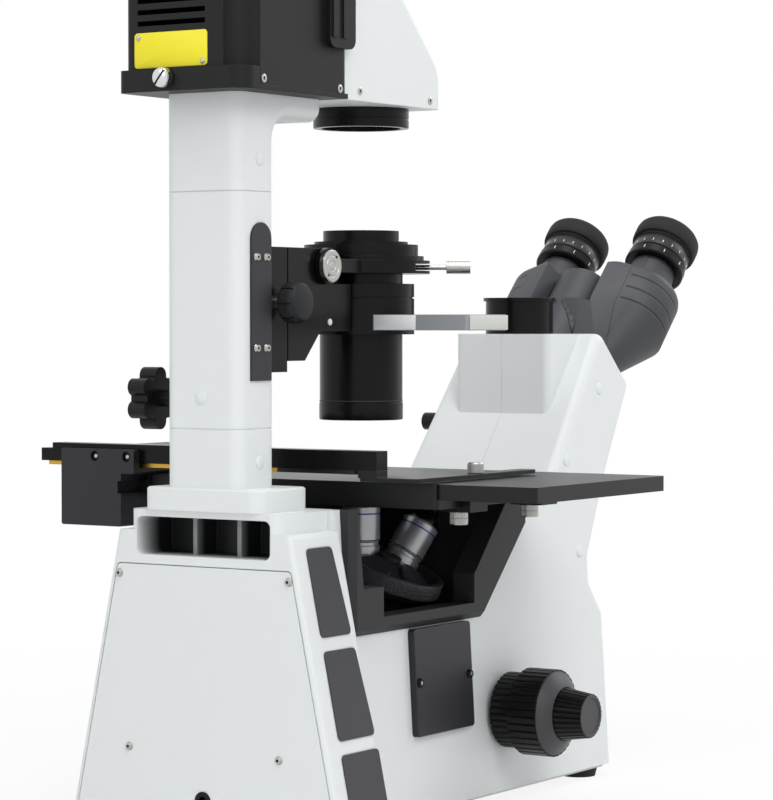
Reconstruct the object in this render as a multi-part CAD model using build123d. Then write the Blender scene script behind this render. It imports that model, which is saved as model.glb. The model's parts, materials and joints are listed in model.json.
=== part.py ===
from build123d import *
import math
import os

# Inverted microscope. X is the user's right, -Y the user's side, Z up from the bench.
# The Z axis is the optical axis through condenser, specimen and objective.

# Levels above the bench
FOOT_H = 6.0
FLOOR_T = 2.0
DECK_Z = 195.0
NECK_TOP = 297.0

# Stand casing, split into two shells at X = 0
WALL = 4.0
HALF_BASE = 68.5
HALF_NECK = 52.0
REAR_Y = 116.0
FRONT_Y = -204.0
CHIN_Y = -203.0
CHIN_Z = 110.0
WAIST_Y = -182.0
WAIST_Z = 138.0
BROW_Y = -218.0
BROW_Z = 204.0
HEAD_FACE_TOP_Y = -221.0
HEAD_FACE_DROP = 35.0
RIDGE_TOP_Y = -214.0
RIDGE_LOW_Y = -134.0
PROFILE_R = 7.0
CASE_EDGE_R = 6.5
BLOCK_HALF = 36.5
BLOCK_REAR_Y = -172.0
BLOCK_BEND_Z = 228.5
BLOCK_FOOT_Y = -136.0
BLOCK_EDGE_R = 5.0
FIT = 0.3
RUN = 0.05
SIDEWAYS = 0.9

# Rear tower
TOWER_REAR_Y = 167.0
TOWER_TOP_HALF = 62.0
TOWER_BASE_HALF = 98.5
TOWER_SHOULDER_Z = 183.0
TOWER_EDGE_R = 3.0
CAP_HALF = 54.0
CAP_FRONT_Y = 112.0
CAP_R = 7.0
GRIP_HALF = 48.0
GRIP_LOW_Z = 168.5
GRIP_TOP_Z = 191.0
GRIP_DEPTH = 34.0
GRIP_R = 4.0
RIB_T = 3.0
RIB_X = 16.0
RIB_INSET = 14.5
COVER_LOW_Z = 13.0
COVER_TOP_Z = 163.0
COVER_MARGIN = 3.5
COVER_T = 2.5
SEAM = 0.5
BOARD_SPACE = 30.0
INLET_Z = 26.0
INLET_R = 5.6
INLET_HOLE_R = 2.9
INLET_PIN_R = 1.0
INLET_DEPTH = 11.0
INLET_BACK = 2.0
INLET_PROUD = 0.6
SCREW_HEAD_R = 2.6
SCREW_HEAD_H = 1.6
SCREW_HEAD_BEVEL = 0.7
SCREW_R = 1.4
SCREW_L = 5.0
COVER_SCREW_LOW_X = 54.0
COVER_SCREW_LOW_Z = 54.2
COVER_SCREW_TOP_X = 61.0
COVER_SCREW_TOP_Z = 156.8
PAD_GAP = 8.0
PAD_TOP_Z = 175.0
PAD_H = 50.5
PAD_REAR_Y = 154.0
PAD_FRONT_Y = 128.5
PAD_LEAN = 0.107
PAD_SEAT = 0.7
PAD_PROUD = 0.8
PAD_ROWS = 3

# Floor plate and feet
FLOOR_INSET = 3.0
FOOT_R = 13.0
FOOT_DRAFT = 1.5
FOOT_FRONT_INSET = 17.0
FOOT_FRONT_Y = -187.0
FOOT_REAR_INSET = 24.5
FOOT_REAR_Y = 142.0

# Nosepiece bay in the left side
BAY_REAR_Y = 110.0
BAY_LOW_Z = 120.0
BAY_CORNER_Y = -40.0
BAY_SLOPE_Y = -93.0
BAY_SLOPE_Z = 175.0
SILL_Z = 130.0
SILL_FRONT_Y = -26.0
SILL_REAR_Y = 77.5
STEP_Z = 148.0
STEP_Y = 99.0
MOUTH_REAR_Y = 105.5
MOUTH_FRONT_Y = -68.0
FRAME_FACE_X = -67.5
FRAME_BACK_X = -52.0
FRAME_CHAMFER = 4.0
BAY_RIGHT_X = 46.0
BAY_FLOOR_Z = 118.0
BAY_FRONT_Y = -44.0
LINER_T = 2.5

# Covered side port
PORT_COVER_SIZE = 65.5
PORT_COVER_T = 4.5
PORT_COVER_Y = 10.3
PORT_COVER_Z = 86.3
PORT_COVER_R = 2.5
PORT_SCREW_Y = 28.7

# Camera port on the neck
PORT_Y = -196.0
PORT_R = 23.0
PORT_LIP_R = 24.6
PORT_H = 24.5
PORT_LIP_H = 2.4
PORT_BORE_R = 19.0

# Pillar
PILLAR_HALF = 27.0
PILLAR_REAR_Y = 168.0
PILLAR_FRONT_Y = 130.0
PILLAR_R = 8.0
PILLAR_WALL = 4.5
PILLAR_SEAM_Z = 243.0
ARM_SEAM_Z = 381.0
ARM_TOP_Z = 438.0
ARM_TIP_Y = 86.0
ARM_T = 13.5
ARM_CORNER_R = 14.0
FLANGE_HALF = 42.0
FLANGE_REAR_Y = 170.0
FLANGE_FRONT_Y = 117.0
FLANGE_H = 13.5
STRIP_Y = 147.0
STRIP_W = 20.0
STRIP_LOW_Z = 271.0
STRIP_TOP_Z = 363.0
STRIP_T = 1.2
STRIP_SCREW_Y = 5.0
STRIP_SCREW_LOW_Z = 290.0
STRIP_SCREW_TOP_Z = 342.8
CLAMP_Y = 150.0
CLAMP_Z = 260.0
CLAMP_R = 18.5
CLAMP_RING_R = 13.3
CLAMP_LOBES = 6
CLAMP_T = 12.0
CLAMP_STEM = 16.0
CLAMP_STEM_R = 5.0

# Stage
STAGE_T = 15.0
STAGE_HALF_X = 106.0
STAGE_HALF_Y = 80.0
STAGE_R = 3.0
STAGE_HOLE_R = 55.0
STAGE_RELIEF_R = 68.0
STAGE_RELIEF_H = 6.0
INSERT_R = 60.0
INSERT_T = 3.0
INSERT_HOLE_R = 14.0
WING_W = 67.0
WING_T = 9.3
WING_HOOK_W = 20.0
WING_HOOK_REACH = 16.0
WING_HOOK_T = 3.0
THUMB_X = -98.0
THUMB_Y = 42.0
THUMB_R = 5.2
THUMB_H = 8.0
THUMB_SHANK_R = 2.0

# Mechanical stage at the right edge
GUIDE_FLANGE_X = 109.0
GUIDE_OUT_X = 115.0
GUIDE_LOW_Z = 199.0
GUIDE_TOP_Z = 206.0
GUIDE_FRONT_Y = -78.0
CARRIAGE_IN_X = 112.6
CARRIAGE_HEAD_X = 102.5
CARRIAGE_HEAD_GAP = 1.0
CARRIAGE_OUT_X = 160.0
CARRIAGE_FRONT_Y = -12.0
CARRIAGE_REAR_Y = 100.0
CARRIAGE_LOW_Z = 178.0
CARRIAGE_TOP_Z = 226.0
RAIL_IN_Y = 82.0
RAIL_OUT_Y = 94.0
RAIL_LOW_Z = 217.5
RAIL_MID_Z = 225.5
RAIL_TOP_Z = 229.0
RAIL_LEFT_X = -73.0
RAIL_RIGHT_X = 181.0
RAIL_STEP_X = 172.0
RACK_T = 2.6
RACK_W = 7.0
KNOB_X = 136.0
KNOB_Y = 12.0
Y_KNOB_R = 17.0
Y_KNOB_H = 20.0
X_KNOB_R = 13.5
X_KNOB_H = 22.0
KNOB_STEM = 40.0
KNOB_STEM_R = 5.0
KNOB_CORE_R = 2.6
KNOB_SEAT = 18.0
KNOB_RIBS = 24
CARRIAGE_BOLT_IN_X = 108.5
CARRIAGE_BOLT_OUT_X = 133.4
CARRIAGE_BOLT_Z = 221.5
CARRIAGE_BOLT_R = 3.2
CARRIAGE_BOLT_DEPTH = 4.0
HOLDER_Z = 211.0
HOLDER_T = 2.5
HOLDER_IN_X = -60.0
HOLDER_OUT_X = -101.0
HOLDER_ARM_W = 12.0
HOLDER_FOOT_Y = 66.0
HOLDER_ARM_FRONT_Y = -46.0
HOLDER_KNOB_Y = 18.0
HOLDER_KNOB_R = 4.4
HOLDER_KNOB_H = 6.5

# Nosepiece
SHOULDER_Z = 159.0
TURRET_TILT = 23.0
TURRET_AZIMUTH = 190.0
PORT_CIRCLE_R = 18.75
TURRET_R = 37.0
TURRET_RIM_TOP = 3.5
TURRET_RIM_LOW = -6.5
TURRET_RIM_IN_R = 34.0
TURRET_WEB_W = 3.4
TURRET_WEB_STEP = 1.0
TURRET_TAPER = 6.0
TURRET_LOW = -12.0
TURRET_HUB_R = 7.0
TURRET_CAP_R = 7.2
TURRET_CAP_T = 2.5
TURRET_STUB_R = 5.0
TURRET_PORTS = 4
OBJECTIVE_PORTS = (0, 3)
PLUG_PORTS = (1, 2)
PORT_HOLE_R = 9.5
PORT_THREAD_R = 9.2
PLUG_R = 10.5
PLUG_H = 3.0
OBJECTIVE_BASE_R = 11.0
OBJECTIVE_BASE_H = 8.0
OBJECTIVE_R = 12.0
OBJECTIVE_NOSE_R = 10.5
OBJECTIVE_TIP_R = 6.5
OBJECTIVE_L = 41.0
OBJECTIVE_BEVEL = 1.0
OBJECTIVE_NOSE_L = 10.0
OBJECTIVE_NOSE_BAND = 2.0
OBJECTIVE_TIP_H = 1.5
CARRIER_IN_X = 29.0
CARRIER_OUT_X = 39.0
CARRIER_REAR_Y = 34.0
CARRIER_FRONT_Y = -24.0
CARRIER_TOP_Z = 178.0
CARRIER_LOW_Z = 122.0
CARRIER_ARM_T = 9.0
CARRIER_ARM_HALF = 13.0
SLIDE_GUIDE_Y = 5.0
SLIDE_GUIDE_HALF = 9.0
SLIDE_GUIDE_X = 35.0
SLIDE_FIT = 0.1
TAIL_DEPTH = 12.0
TAIL_GAP = 2.0
TAIL_WEB_H = 18.0
TAIL_LOW_Z = 44.0
FOCUS_UP = 7.0
LIGHT_R = 5.5

# Focus drive
FOCUS_Y = -66.0
FOCUS_Z = 59.0
BOSS_R = 9.0
RING_R = 24.0
RING_GAP = 3.4
RING_W = 14.0
COARSE_R = 27.5
COARSE_W = 20.0
COARSE_DEPTH = 27.0
COARSE_CONE_R = 16.5
COARSE_RIBS = 36
FINE_R = 13.8
FINE_BASE_R = 16.5
FINE_W = 18.5
FINE_DISH = 2.0
FINE_DISH_R = 9.8
FINE_DISH_EDGE = 1.5
FINE_RIBS = 28
SLEEVE_R = 5.0
SHAFT_R = 3.0
PINION_R = 6.0
RIB_DEPTH = 0.9

# Condenser rail, carrier and knob on the pillar
CR_HALF = 20.0
CR_FRONT_Y = 108.5
CR_LOW_Z = 275.5
CR_TOP_Z = 349.5
TONGUE_HALF = 9.0
TONGUE_DEPTH = 4.5
CR_GROOVE_DEPTH = 18.0
CARRIER_BASE_Z = 282.0
CARRIER_CHIN_Z = 299.0
CARRIER_CHIN_Y = 91.0
CARRIER_SHOULDER_Y = 75.0
LUG_HALF = 14.5
COND_KNOB_Y = 119.5
COND_KNOB_Z = 316.5
COND_KNOB_R = 12.2
COND_KNOB_W = 12.0
COND_KNOB_RIBS = 24
COND_SHAFT_R = 4.0
COND_BUSH_R = 5.5
COND_PINION_R = 6.0
COND_GAP = 7.0

# Condenser
BARREL_R = 26.0
BARREL_LOW_Z = 244.0
BARREL_WALL = 4.0
COLLAR_R = 33.4
COLLAR_LOW_Z = 297.4
COLLAR_TOP_Z = 328.9
COLLAR_GROOVE_Z = 319.7
NECK_R = 26.2
GROOVE = 1.0
LENS_T = 9.0
LENS_BULGE = 2.0
SLIDER_HALF_L = 93.5
SLIDER_W = 46.0
SLIDER_LOW_Z = 300.0
SLIDER_T = 9.7
SLIDER_TRAVEL = 45.0
SLIDER_HOLE_R = 14.0
PLATE_R = 43.2
PLATE_LOW_Z = 335.2
PLATE_TOP_Z = 343.4
STEP_R = 39.4
STEP_TOP_Z = 346.2
RING_DISC_R = 35.8
RING_DISC_TOP_Z = 353.3
CROWN_STEP_R = 29.4
CROWN_STEP_Z = 355.2
CROWN_R = 23.8
CROWN_TOP_Z = 362.0
CROWN_BORE_R = 17.0
CROWN_NOTCH_W = 22.0
HINGE_Y = 70.5
HINGE_Z = 338.8
EAR_IN_X = 20.5
EAR_OUT_X = 24.0
EAR_R = 11.0
PIN_R = 4.0
PIN_CAP_R = 9.8
PIN_CAP_T = 2.0
LEVER_AZIMUTH = 213.0
LEVER_ROD_R = 1.6
LEVER_ROD_L = 54.0
LEVER_GRIP_R = 4.0
LEVER_GRIP_L = 14.5
LEVER_SWEEP = 32.0
LEVER_SLOT_EXTRA = 6.0
LEVER_RING_R = 24.5
LEVER_RING_T = 4.0

# Lamp house on the arm
TRAY_HALF = 46.0
TRAY_REAR_Y = 187.0
TRAY_H = 13.0
TRAY_WALL = 2.5
TRAY_FLOOR = 3.0
TRAY_CORNER_R = 12.0
LAMP_LEFT_X = -43.0
LAMP_RIGHT_X = 43.0
LAMP_REAR_Y = 184.0
LAMP_FRONT_Y = 79.0
LAMP_TOP_Z = 540.0
LAMP_WALL = 2.5
LAMP_R = 5.0
CHANNEL_R = 15.0
SLOT_LEFT_X = -15.0
SLOT_RIGHT_X = 33.6
SLOT_H = 2.9
SLOT_PITCH = 6.5
SLOT_FIRST_Z = 476.2
SLOT_ROWS = 8
BRACKET_T = 4.0
BRACKET_FRONT_Y = 76.5
BRACKET_REAR_Y = 103.6
BRACKET_LOW_Z = 467.0
BRACKET_TOP_Z = 527.0
BRACKET_R = 6.0
BRACKET_RIB_Y = (88.5, 99.2)
BRACKET_RIB_W = 4.6
BRACKET_RIB_T = 1.2
BEAM_Z = 487.0
BEAM_R = 24.0
NOSE_HALF = 40.0
NOSE_FRONT_Y = -30.0
NOSE_LIP_Z = 463.0
NOSE_LIP_R = 24.0
NOSE_WALL = 2.5
NOSE_R = 4.0
MIRROR_T = 3.0
MIRROR_HALF = 26.0
MIRROR_L = 60.0
COLLECTOR_R = 30.0
COLLECTOR_H = 12.0
COLLECTOR_GROOVE_H = 5.0
COLLECTOR_WALL = 5.0
COLLECTOR_LENS_T = 6.0
BULB_Y = 122.0
BULB_R = 6.0
BULB_L = 30.0
BULB_NECK_R = 4.0
BULB_SHOULDER = 6.0
BULB_TIP_R = 3.0
BULB_TIP = 5.0
BULB_DOME = 1.0
SOCKET_R = 11.0
LAMP_SCREW_X = 10.5
LAMP_SCREW_Z = 445.5
LAMP_SCREW_R = 5.4
LAMP_SCREW_H = 6.0

# Binocular head on the inclined face of the neck
HEAD_TILT = 45.0
SEAT_R = 24.0
SEAT_H = 5.0
HUB_R = 20.0
HUB_TOP = 72.0
HUB_EDGE = 2.0
EYE_X = 36.5
EYE_DROP = 14.8
ARM_R = 28.0
ARM_BASE_R = 15.0
ARM_LOW = 7.0
ARM_WIDE = 41.0
ARM_TOP = 83.0
ARM_TOP_R = 8.0
ARM_NEAR = 0.3
ARM_BASE_REACH = 0.8
ARM_CUT = 2.0
IPD_CLOSE = 28.0
IPD_OPEN = 3.0
TUBE_R = 17.5
TUBE_TOP_R = 16.0
TUBE_H = 19.0
SPIGOT_H = 18.5
OCULAR_R = 11.6
OCULAR_SEAT = 10.0
DIOPTER_R = 21.5
DIOPTER_H = 7.5
DIOPTER_EDGE = 1.0
OCULAR_RING_R = 20.5
OCULAR_RING_H = 12.0
CUP_R = 23.0
CUP_H = 14.0
CUP_EDGE = 2.0
CUP_BORE_R = 17.0
EYE_LENS_R = 13.0
HEAD_BORE_R = 13.0

# Controls on the user's right
DIAL_Y = -150.0
DIAL_Z = 40.0
DIAL_R = 11.0
DIAL_W = 12.0
DIAL_RIBS = 20
ROD_Y = -196.0
ROD_Z = 236.0
ROD_R = 3.0
ROD_KNOB_R = 6.0
ROD_KNOB_L = 12.0
ROD_OUT = 8.0
ROD_IN = 34.0

# Worked out from the sizes above
BASE_Z = FOOT_H + FLOOR_T
STAGE_TOP = DECK_Z + STAGE_T
HEAD_FACE_Y = HEAD_FACE_TOP_Y - HEAD_FACE_DROP / 2
HEAD_FACE_Z = NECK_TOP - HEAD_FACE_DROP / 2
CASE_SLOPE = (HALF_BASE - HALF_NECK) / (NECK_TOP - BASE_Z)
CASE_LEAN = math.degrees(math.atan(CASE_SLOPE))
CASE_AT_FOCUS = HALF_BASE - CASE_SLOPE * (FOCUS_Z - BASE_Z)
RING_IN_X = CASE_AT_FOCUS + RING_GAP
BOSS_OUT_X = RING_IN_X + RING_W
COARSE_CONE_X = BOSS_OUT_X + COARSE_DEPTH
FINE_OUT_X = COARSE_CONE_X + FINE_W
FOOT_FRONT_X = HALF_BASE - FOOT_FRONT_INSET
SPIGOT_TOP = ARM_TOP + TUBE_H + SPIGOT_H
FOOT_REAR_X = TOWER_BASE_HALF - FOOT_REAR_INSET
TOWER_SLOPE = (TOWER_BASE_HALF - TOWER_TOP_HALF) / (TOWER_SHOULDER_Z - BASE_Z)
FLANGE_TOP_Z = DECK_Z + FLANGE_H
HEAD = Pos(0, HEAD_FACE_Y, HEAD_FACE_Z) * Rot(HEAD_TILT, 0, 0)
UPHILL = Rot(0, 0, TURRET_AZIMUTH) * Rot(0, TURRET_TILT, 0) * Pos(-PORT_CIRCLE_R, 0, 0)
TURRET_X = -UPHILL.position.X
TURRET_Y = -UPHILL.position.Y
TURRET_Z = SHOULDER_Z - UPHILL.position.Z
TURRET = Pos(TURRET_X, TURRET_Y, TURRET_Z) * Rot(0, 0, TURRET_AZIMUTH) * Rot(0, TURRET_TILT, 0)


def box(low, high):
    """Block between two corners."""
    size = [b - a for a, b in zip(low, high)]
    middle = [(a + b) / 2 for a, b in zip(low, high)]
    return Pos(*middle) * Box(*size)


def post(radius, low, high, x=0.0, y=0.0):
    """Upright cylinder."""
    return Pos(x, y, (low + high) / 2) * Cylinder(radius, high - low)


def turned(profile):
    """Solid of revolution about Z from (radius, height) points."""
    return revolve(Plane.XZ * Polygon(*profile, align=None), Axis.Z)


def side_plate(outline, left, right):
    """Outline in (Y, Z) carried from X = left to X = right."""
    return Pos(left, 0, 0) * extrude(Plane.YZ * outline, right - left, dir=(1, 0, 0))


def plan_plate(left, right, front, rear, radius, low, high):
    """Flat plate with rounded corners seen from above."""
    outline = RectangleRounded(right - left, rear - front, radius)
    return Pos((left + right) / 2, (front + rear) / 2, low) * extrude(outline, high - low)


def rib_outline(radius, ribs):
    """Circle with V notches round its edge."""
    notch = RIB_DEPTH * math.sqrt(2)
    return Circle(radius) - PolarLocations(radius, ribs) * (Rot(0, 0, 45) * Rectangle(notch, notch))


def ribbed(radius, length, ribs):
    """Grip barrel with V notches along its length."""
    return extrude(rib_outline(radius, ribs), length)


def leftward(x, y, z):
    """Place whose Z points to the user's left."""
    return Pos(x, y, z) * Rot(0, -90, 0)


def rightward(x, y, z):
    """Place whose Z points to the user's right."""
    return Pos(x, y, z) * Rot(0, 90, 0)


def case_half(z):
    """Half width of the stand casing at height z."""
    return HALF_BASE - CASE_SLOPE * (z - BASE_Z)


def tower_half(z):
    """Half width of the rear tower at height z."""
    return TOWER_BASE_HALF - TOWER_SLOPE * (z - BASE_Z)


def case_draft(inset, bottom):
    """Wedge that gives the casing its leaning sides."""
    low = case_half(bottom) - inset
    top = HALF_NECK - inset
    outline = Polygon((-low, bottom), (low, bottom), (top, NECK_TOP), (-top, NECK_TOP), align=None)
    return extrude(Plane.XZ * outline, REAR_Y - FRONT_Y, both=True)


def column_outline(bottom):
    """Side outline of the front column that carries the neck and head."""
    lean = (RIDGE_TOP_Y - RIDGE_LOW_Y) / (NECK_TOP - DECK_Z)
    points = [
        (RIDGE_LOW_Y + lean * (bottom - DECK_Z), bottom),
        (RIDGE_TOP_Y, NECK_TOP),
        (HEAD_FACE_TOP_Y, NECK_TOP),
        (HEAD_FACE_TOP_Y - HEAD_FACE_DROP, NECK_TOP - HEAD_FACE_DROP),
        (BROW_Y, BROW_Z),
        (WAIST_Y, WAIST_Z),
        (CHIN_Y, CHIN_Z),
        (FRONT_Y, bottom),
    ]
    return Polygon(*points, align=None)


def block_outline():
    """Side outline of the narrow block under the camera port."""
    points = [
        (HEAD_FACE_TOP_Y + PROFILE_R, NECK_TOP),
        (BLOCK_REAR_Y, NECK_TOP),
        (BLOCK_REAR_Y, BLOCK_BEND_Z),
        (BLOCK_FOOT_Y, DECK_Z),
        (HEAD_FACE_TOP_Y + PROFILE_R, DECK_Z),
    ]
    return Polygon(*points, align=None)


def low_outline(bottom, inset):
    """Side outline of the low body under the stage."""
    top = DECK_Z - inset
    points = [(REAR_Y - inset, bottom), (REAR_Y - inset, top), (WAIST_Y, top), (WAIST_Y, bottom)]
    return Polygon(*points, align=None)


def rounded_column():
    """Front column with soft corners and soft side edges."""
    outline = column_outline(BASE_Z)
    corners = [v for v in outline.vertices() if v.Y > BASE_Z + WALL]
    outline = fillet(corners, PROFILE_R)
    solid = side_plate(outline, -HALF_BASE, HALF_BASE) & case_draft(0, BASE_Z)
    cheeks = [f for f in solid.faces() if abs(f.normal_at().X) > SIDEWAYS]
    edges = [e for f in cheeks for e in f.edges() if e.center().Z > BASE_Z + WALL]
    return fillet(edges, CASE_EDGE_R)


def rounded_block():
    """Block under the camera port with soft rear edges."""
    outline = block_outline()
    bend = [v for v in outline.vertices() if abs(v.Y - BLOCK_BEND_Z) < WALL]
    solid = side_plate(fillet(bend, PROFILE_R), -BLOCK_HALF, BLOCK_HALF)
    cheeks = [f for f in solid.faces() if abs(f.normal_at().X) > SIDEWAYS]
    edges = [e for f in cheeks for e in f.edges() if e.center().Y > BLOCK_REAR_Y - WALL]
    rear = [e for e in edges if DECK_Z + WALL < e.center().Z < NECK_TOP - WALL]
    return fillet(rear, BLOCK_EDGE_R)


def case_hollow():
    """Inside of the stand casing, open at the bottom."""
    below = BASE_Z - 2 * WALL
    column = offset(column_outline(below), amount=-WALL, kind=Kind.INTERSECTION)
    hollow = side_plate(column, -HALF_BASE, HALF_BASE)
    hollow += side_plate(low_outline(below, WALL), -HALF_BASE, HALF_BASE)
    hollow = hollow & case_draft(WALL, below)
    block = offset(block_outline(), amount=-WALL, kind=Kind.INTERSECTION)
    return hollow + side_plate(block, WALL - BLOCK_HALF, BLOCK_HALF - WALL)


def mouth_outline(sill, front):
    """Opening of the nosepiece bay in the side wall."""
    points = [
        (MOUTH_REAR_Y, DECK_Z),
        (STEP_Y, STEP_Z),
        (SILL_REAR_Y, STEP_Z),
        (SILL_REAR_Y, sill),
        (front, sill),
        (front, STEP_Z),
        (MOUTH_FRONT_Y, DECK_Z),
    ]
    return Polygon(*points, align=None)


def frame_outline():
    """Outer edge of the bay frame."""
    points = [
        (BAY_REAR_Y, DECK_Z),
        (BAY_REAR_Y, BAY_LOW_Z),
        (BAY_CORNER_Y, BAY_LOW_Z),
        (BAY_SLOPE_Y, BAY_SLOPE_Z),
        (BAY_SLOPE_Y, DECK_Z),
    ]
    return Polygon(*points, align=None)


def liner_outside():
    """Outer skin of the bay liner, as cut out of the casing."""
    outline = offset(mouth_outline(BAY_FLOOR_Z, BAY_FRONT_Y), amount=LINER_T, kind=Kind.INTERSECTION)
    return side_plate(outline, FRAME_BACK_X, BAY_RIGHT_X + LINER_T)


def make_case():
    """Both shells of the stand casing, still joined."""
    case = side_plate(low_outline(BASE_Z, 0), -HALF_BASE, HALF_BASE) & case_draft(0, BASE_Z)
    case = case + rounded_column() + rounded_block()
    case -= case_hollow()
    case -= post(PORT_BORE_R - PORT_LIP_H, BLOCK_BEND_Z, NECK_TOP + WALL, 0, PORT_Y)
    case -= HEAD * post(HEAD_BORE_R, -4 * WALL, WALL)
    case -= liner_outside()
    case -= tower_cap()
    case -= side_plate(frame_outline(), -HALF_BASE, FRAME_BACK_X)
    inner = case_half(FOCUS_Z) - WALL
    for place in (leftward(-inner, FOCUS_Y, FOCUS_Z), rightward(inner, FOCUS_Y, FOCUS_Z)):
        case += place * post(BOSS_R, 0, BOSS_OUT_X - inner)
        case -= place * post(SLEEVE_R + RUN, -WALL, BOSS_OUT_X)
    case -= screw_holes()
    case -= rightward(0, DIAL_Y, DIAL_Z) * post(SHAFT_R + RUN, WALL, HALF_BASE)
    case -= rightward(0, ROD_Y, ROD_Z) * post(ROD_R + RUN, WALL, HALF_BASE)
    return case


def tower_cap():
    """Flat top of the tower that the pillar stands on."""
    return plan_plate(-CAP_HALF, CAP_HALF, CAP_FRONT_Y, TOWER_REAR_Y, CAP_R, TOWER_SHOULDER_Z, DECK_Z)


def make_tower():
    """Flared rear foot with the hand grip and the space behind the rear cover."""
    flare = Polygon(
        (-TOWER_BASE_HALF, BASE_Z), (TOWER_BASE_HALF, BASE_Z),
        (TOWER_TOP_HALF, TOWER_SHOULDER_Z), (-TOWER_TOP_HALF, TOWER_SHOULDER_Z), align=None)
    solid = Pos(0, TOWER_REAR_Y, 0) * extrude(Plane.XZ * flare, TOWER_REAR_Y - REAR_Y)
    slopes = [f for f in solid.faces() if abs(f.normal_at().X) > SIDEWAYS]
    solid = fillet([e for f in slopes for e in f.edges() if e.center().Z > BASE_Z + WALL], TOWER_EDGE_R)
    solid += tower_cap()
    grip = RectangleRounded(2 * GRIP_HALF, GRIP_TOP_Z - GRIP_LOW_Z, GRIP_R)
    grip_cut = Pos(0, TOWER_REAR_Y, (GRIP_LOW_Z + GRIP_TOP_Z) / 2) * extrude(Plane.XZ * grip, GRIP_DEPTH)
    for side in (-1, 1):
        x = side * RIB_X
        grip_cut -= box((x - RIB_T / 2, REAR_Y, GRIP_LOW_Z - WALL),
                        (x + RIB_T / 2, TOWER_REAR_Y - RIB_INSET, DECK_Z))
    solid -= grip_cut
    solid -= cover_panel(0, COVER_T)
    inside = tower_half(COVER_TOP_Z) - 2 * COVER_MARGIN
    solid -= box((-inside, TOWER_REAR_Y - COVER_T - BOARD_SPACE, BASE_Z + WALL),
                 (inside, TOWER_REAR_Y, COVER_TOP_Z - 2 * WALL))
    return solid - pad_windows(PAD_SEAT, WALL) - screw_holes()


PORT_FACE = Pos(-case_half(PORT_COVER_Z), PORT_COVER_Y, PORT_COVER_Z) * Rot(0, CASE_LEAN - 90, 0)


def cover_panel(gap, thickness):
    """Panel of the rear cover, with a gap all round."""
    low = tower_half(COVER_LOW_Z) - COVER_MARGIN - gap
    top = tower_half(COVER_TOP_Z) - COVER_MARGIN - gap
    outline = Polygon((-low, COVER_LOW_Z + gap), (low, COVER_LOW_Z + gap),
                      (top, COVER_TOP_Z - gap), (-top, COVER_TOP_Z - gap), align=None)
    outline = fillet(outline.vertices(), TOWER_EDGE_R)
    return Pos(0, TOWER_REAR_Y, 0) * extrude(Plane.XZ * outline, thickness)


def pad_windows(depth, proud):
    """Slabs on the sloping tower sides where the pads lie."""
    outer = Polygon(
        (-TOWER_BASE_HALF - proud, BASE_Z), (TOWER_BASE_HALF + proud, BASE_Z),
        (TOWER_TOP_HALF + proud, TOWER_SHOULDER_Z), (-TOWER_TOP_HALF - proud, TOWER_SHOULDER_Z), align=None)
    inner = Polygon(
        (depth - TOWER_BASE_HALF, BASE_Z), (TOWER_BASE_HALF - depth, BASE_Z),
        (TOWER_TOP_HALF - depth, TOWER_SHOULDER_Z), (depth - TOWER_TOP_HALF, TOWER_SHOULDER_Z), align=None)
    slab = Pos(0, TOWER_REAR_Y, 0) * extrude(Plane.XZ * (outer - inner), TOWER_REAR_Y - REAR_Y)
    windows = Sketch()
    for row in range(PAD_ROWS):
        top = PAD_TOP_Z - row * (PAD_H + PAD_GAP)
        low = top - PAD_H
        front = [PAD_FRONT_Y - PAD_LEAN * (PAD_TOP_Z - z) for z in (top, low)]
        pad = Polygon((PAD_REAR_Y, top), (front[0], top), (front[1], low), (PAD_REAR_Y, low), align=None)
        windows += fillet(pad.vertices(), TOWER_EDGE_R)
    return slab & side_plate(windows, -2 * TOWER_BASE_HALF, 2 * TOWER_BASE_HALF)


def make_floor():
    """Steel floor plate under the stand."""
    half = HALF_BASE - FLOOR_INSET
    wide = TOWER_BASE_HALF - FLOOR_INSET
    plate = plan_plate(-half, half, FRONT_Y + FLOOR_INSET, REAR_Y, PROFILE_R, FOOT_H, BASE_Z)
    front = REAR_Y - 2 * PROFILE_R
    rear = TOWER_REAR_Y - FLOOR_INSET
    return plate + plan_plate(-wide, wide, front, rear, PROFILE_R, FOOT_H, BASE_Z)


def make_feet():
    """Four soft feet."""
    foot = turned([(0, 0), (FOOT_R - FOOT_DRAFT, 0), (FOOT_R, FOOT_H), (0, FOOT_H)])
    places = [(x * side, y) for side in (-1, 1)
              for x, y in ((FOOT_FRONT_X, FOOT_FRONT_Y), (FOOT_REAR_X, FOOT_REAR_Y))]
    return Compound([Pos(x, y, 0) * foot for x, y in places])


def make_inlet():
    """Low-voltage socket in the rear cover."""
    body = turned([(INLET_HOLE_R, 0), (INLET_R, 0), (INLET_R, INLET_DEPTH), (INLET_HOLE_R, INLET_DEPTH)])
    pin = post(INLET_PIN_R, 0, INLET_DEPTH - INLET_BACK)
    back = post(INLET_R, 0, INLET_BACK)
    return Pos(0, TOWER_REAR_Y + INLET_PROUD - INLET_DEPTH, INLET_Z) * Rot(-90, 0, 0) * (body + pin + back)


def make_rear_cover():
    """Screwed rear panel with the hole for the socket."""
    panel = cover_panel(SEAM, COVER_T)
    hole = Pos(0, TOWER_REAR_Y, INLET_Z) * Rot(90, 0, 0) * post(INLET_R, -COVER_T, 2 * COVER_T)
    return panel - hole - screw_holes()


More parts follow.
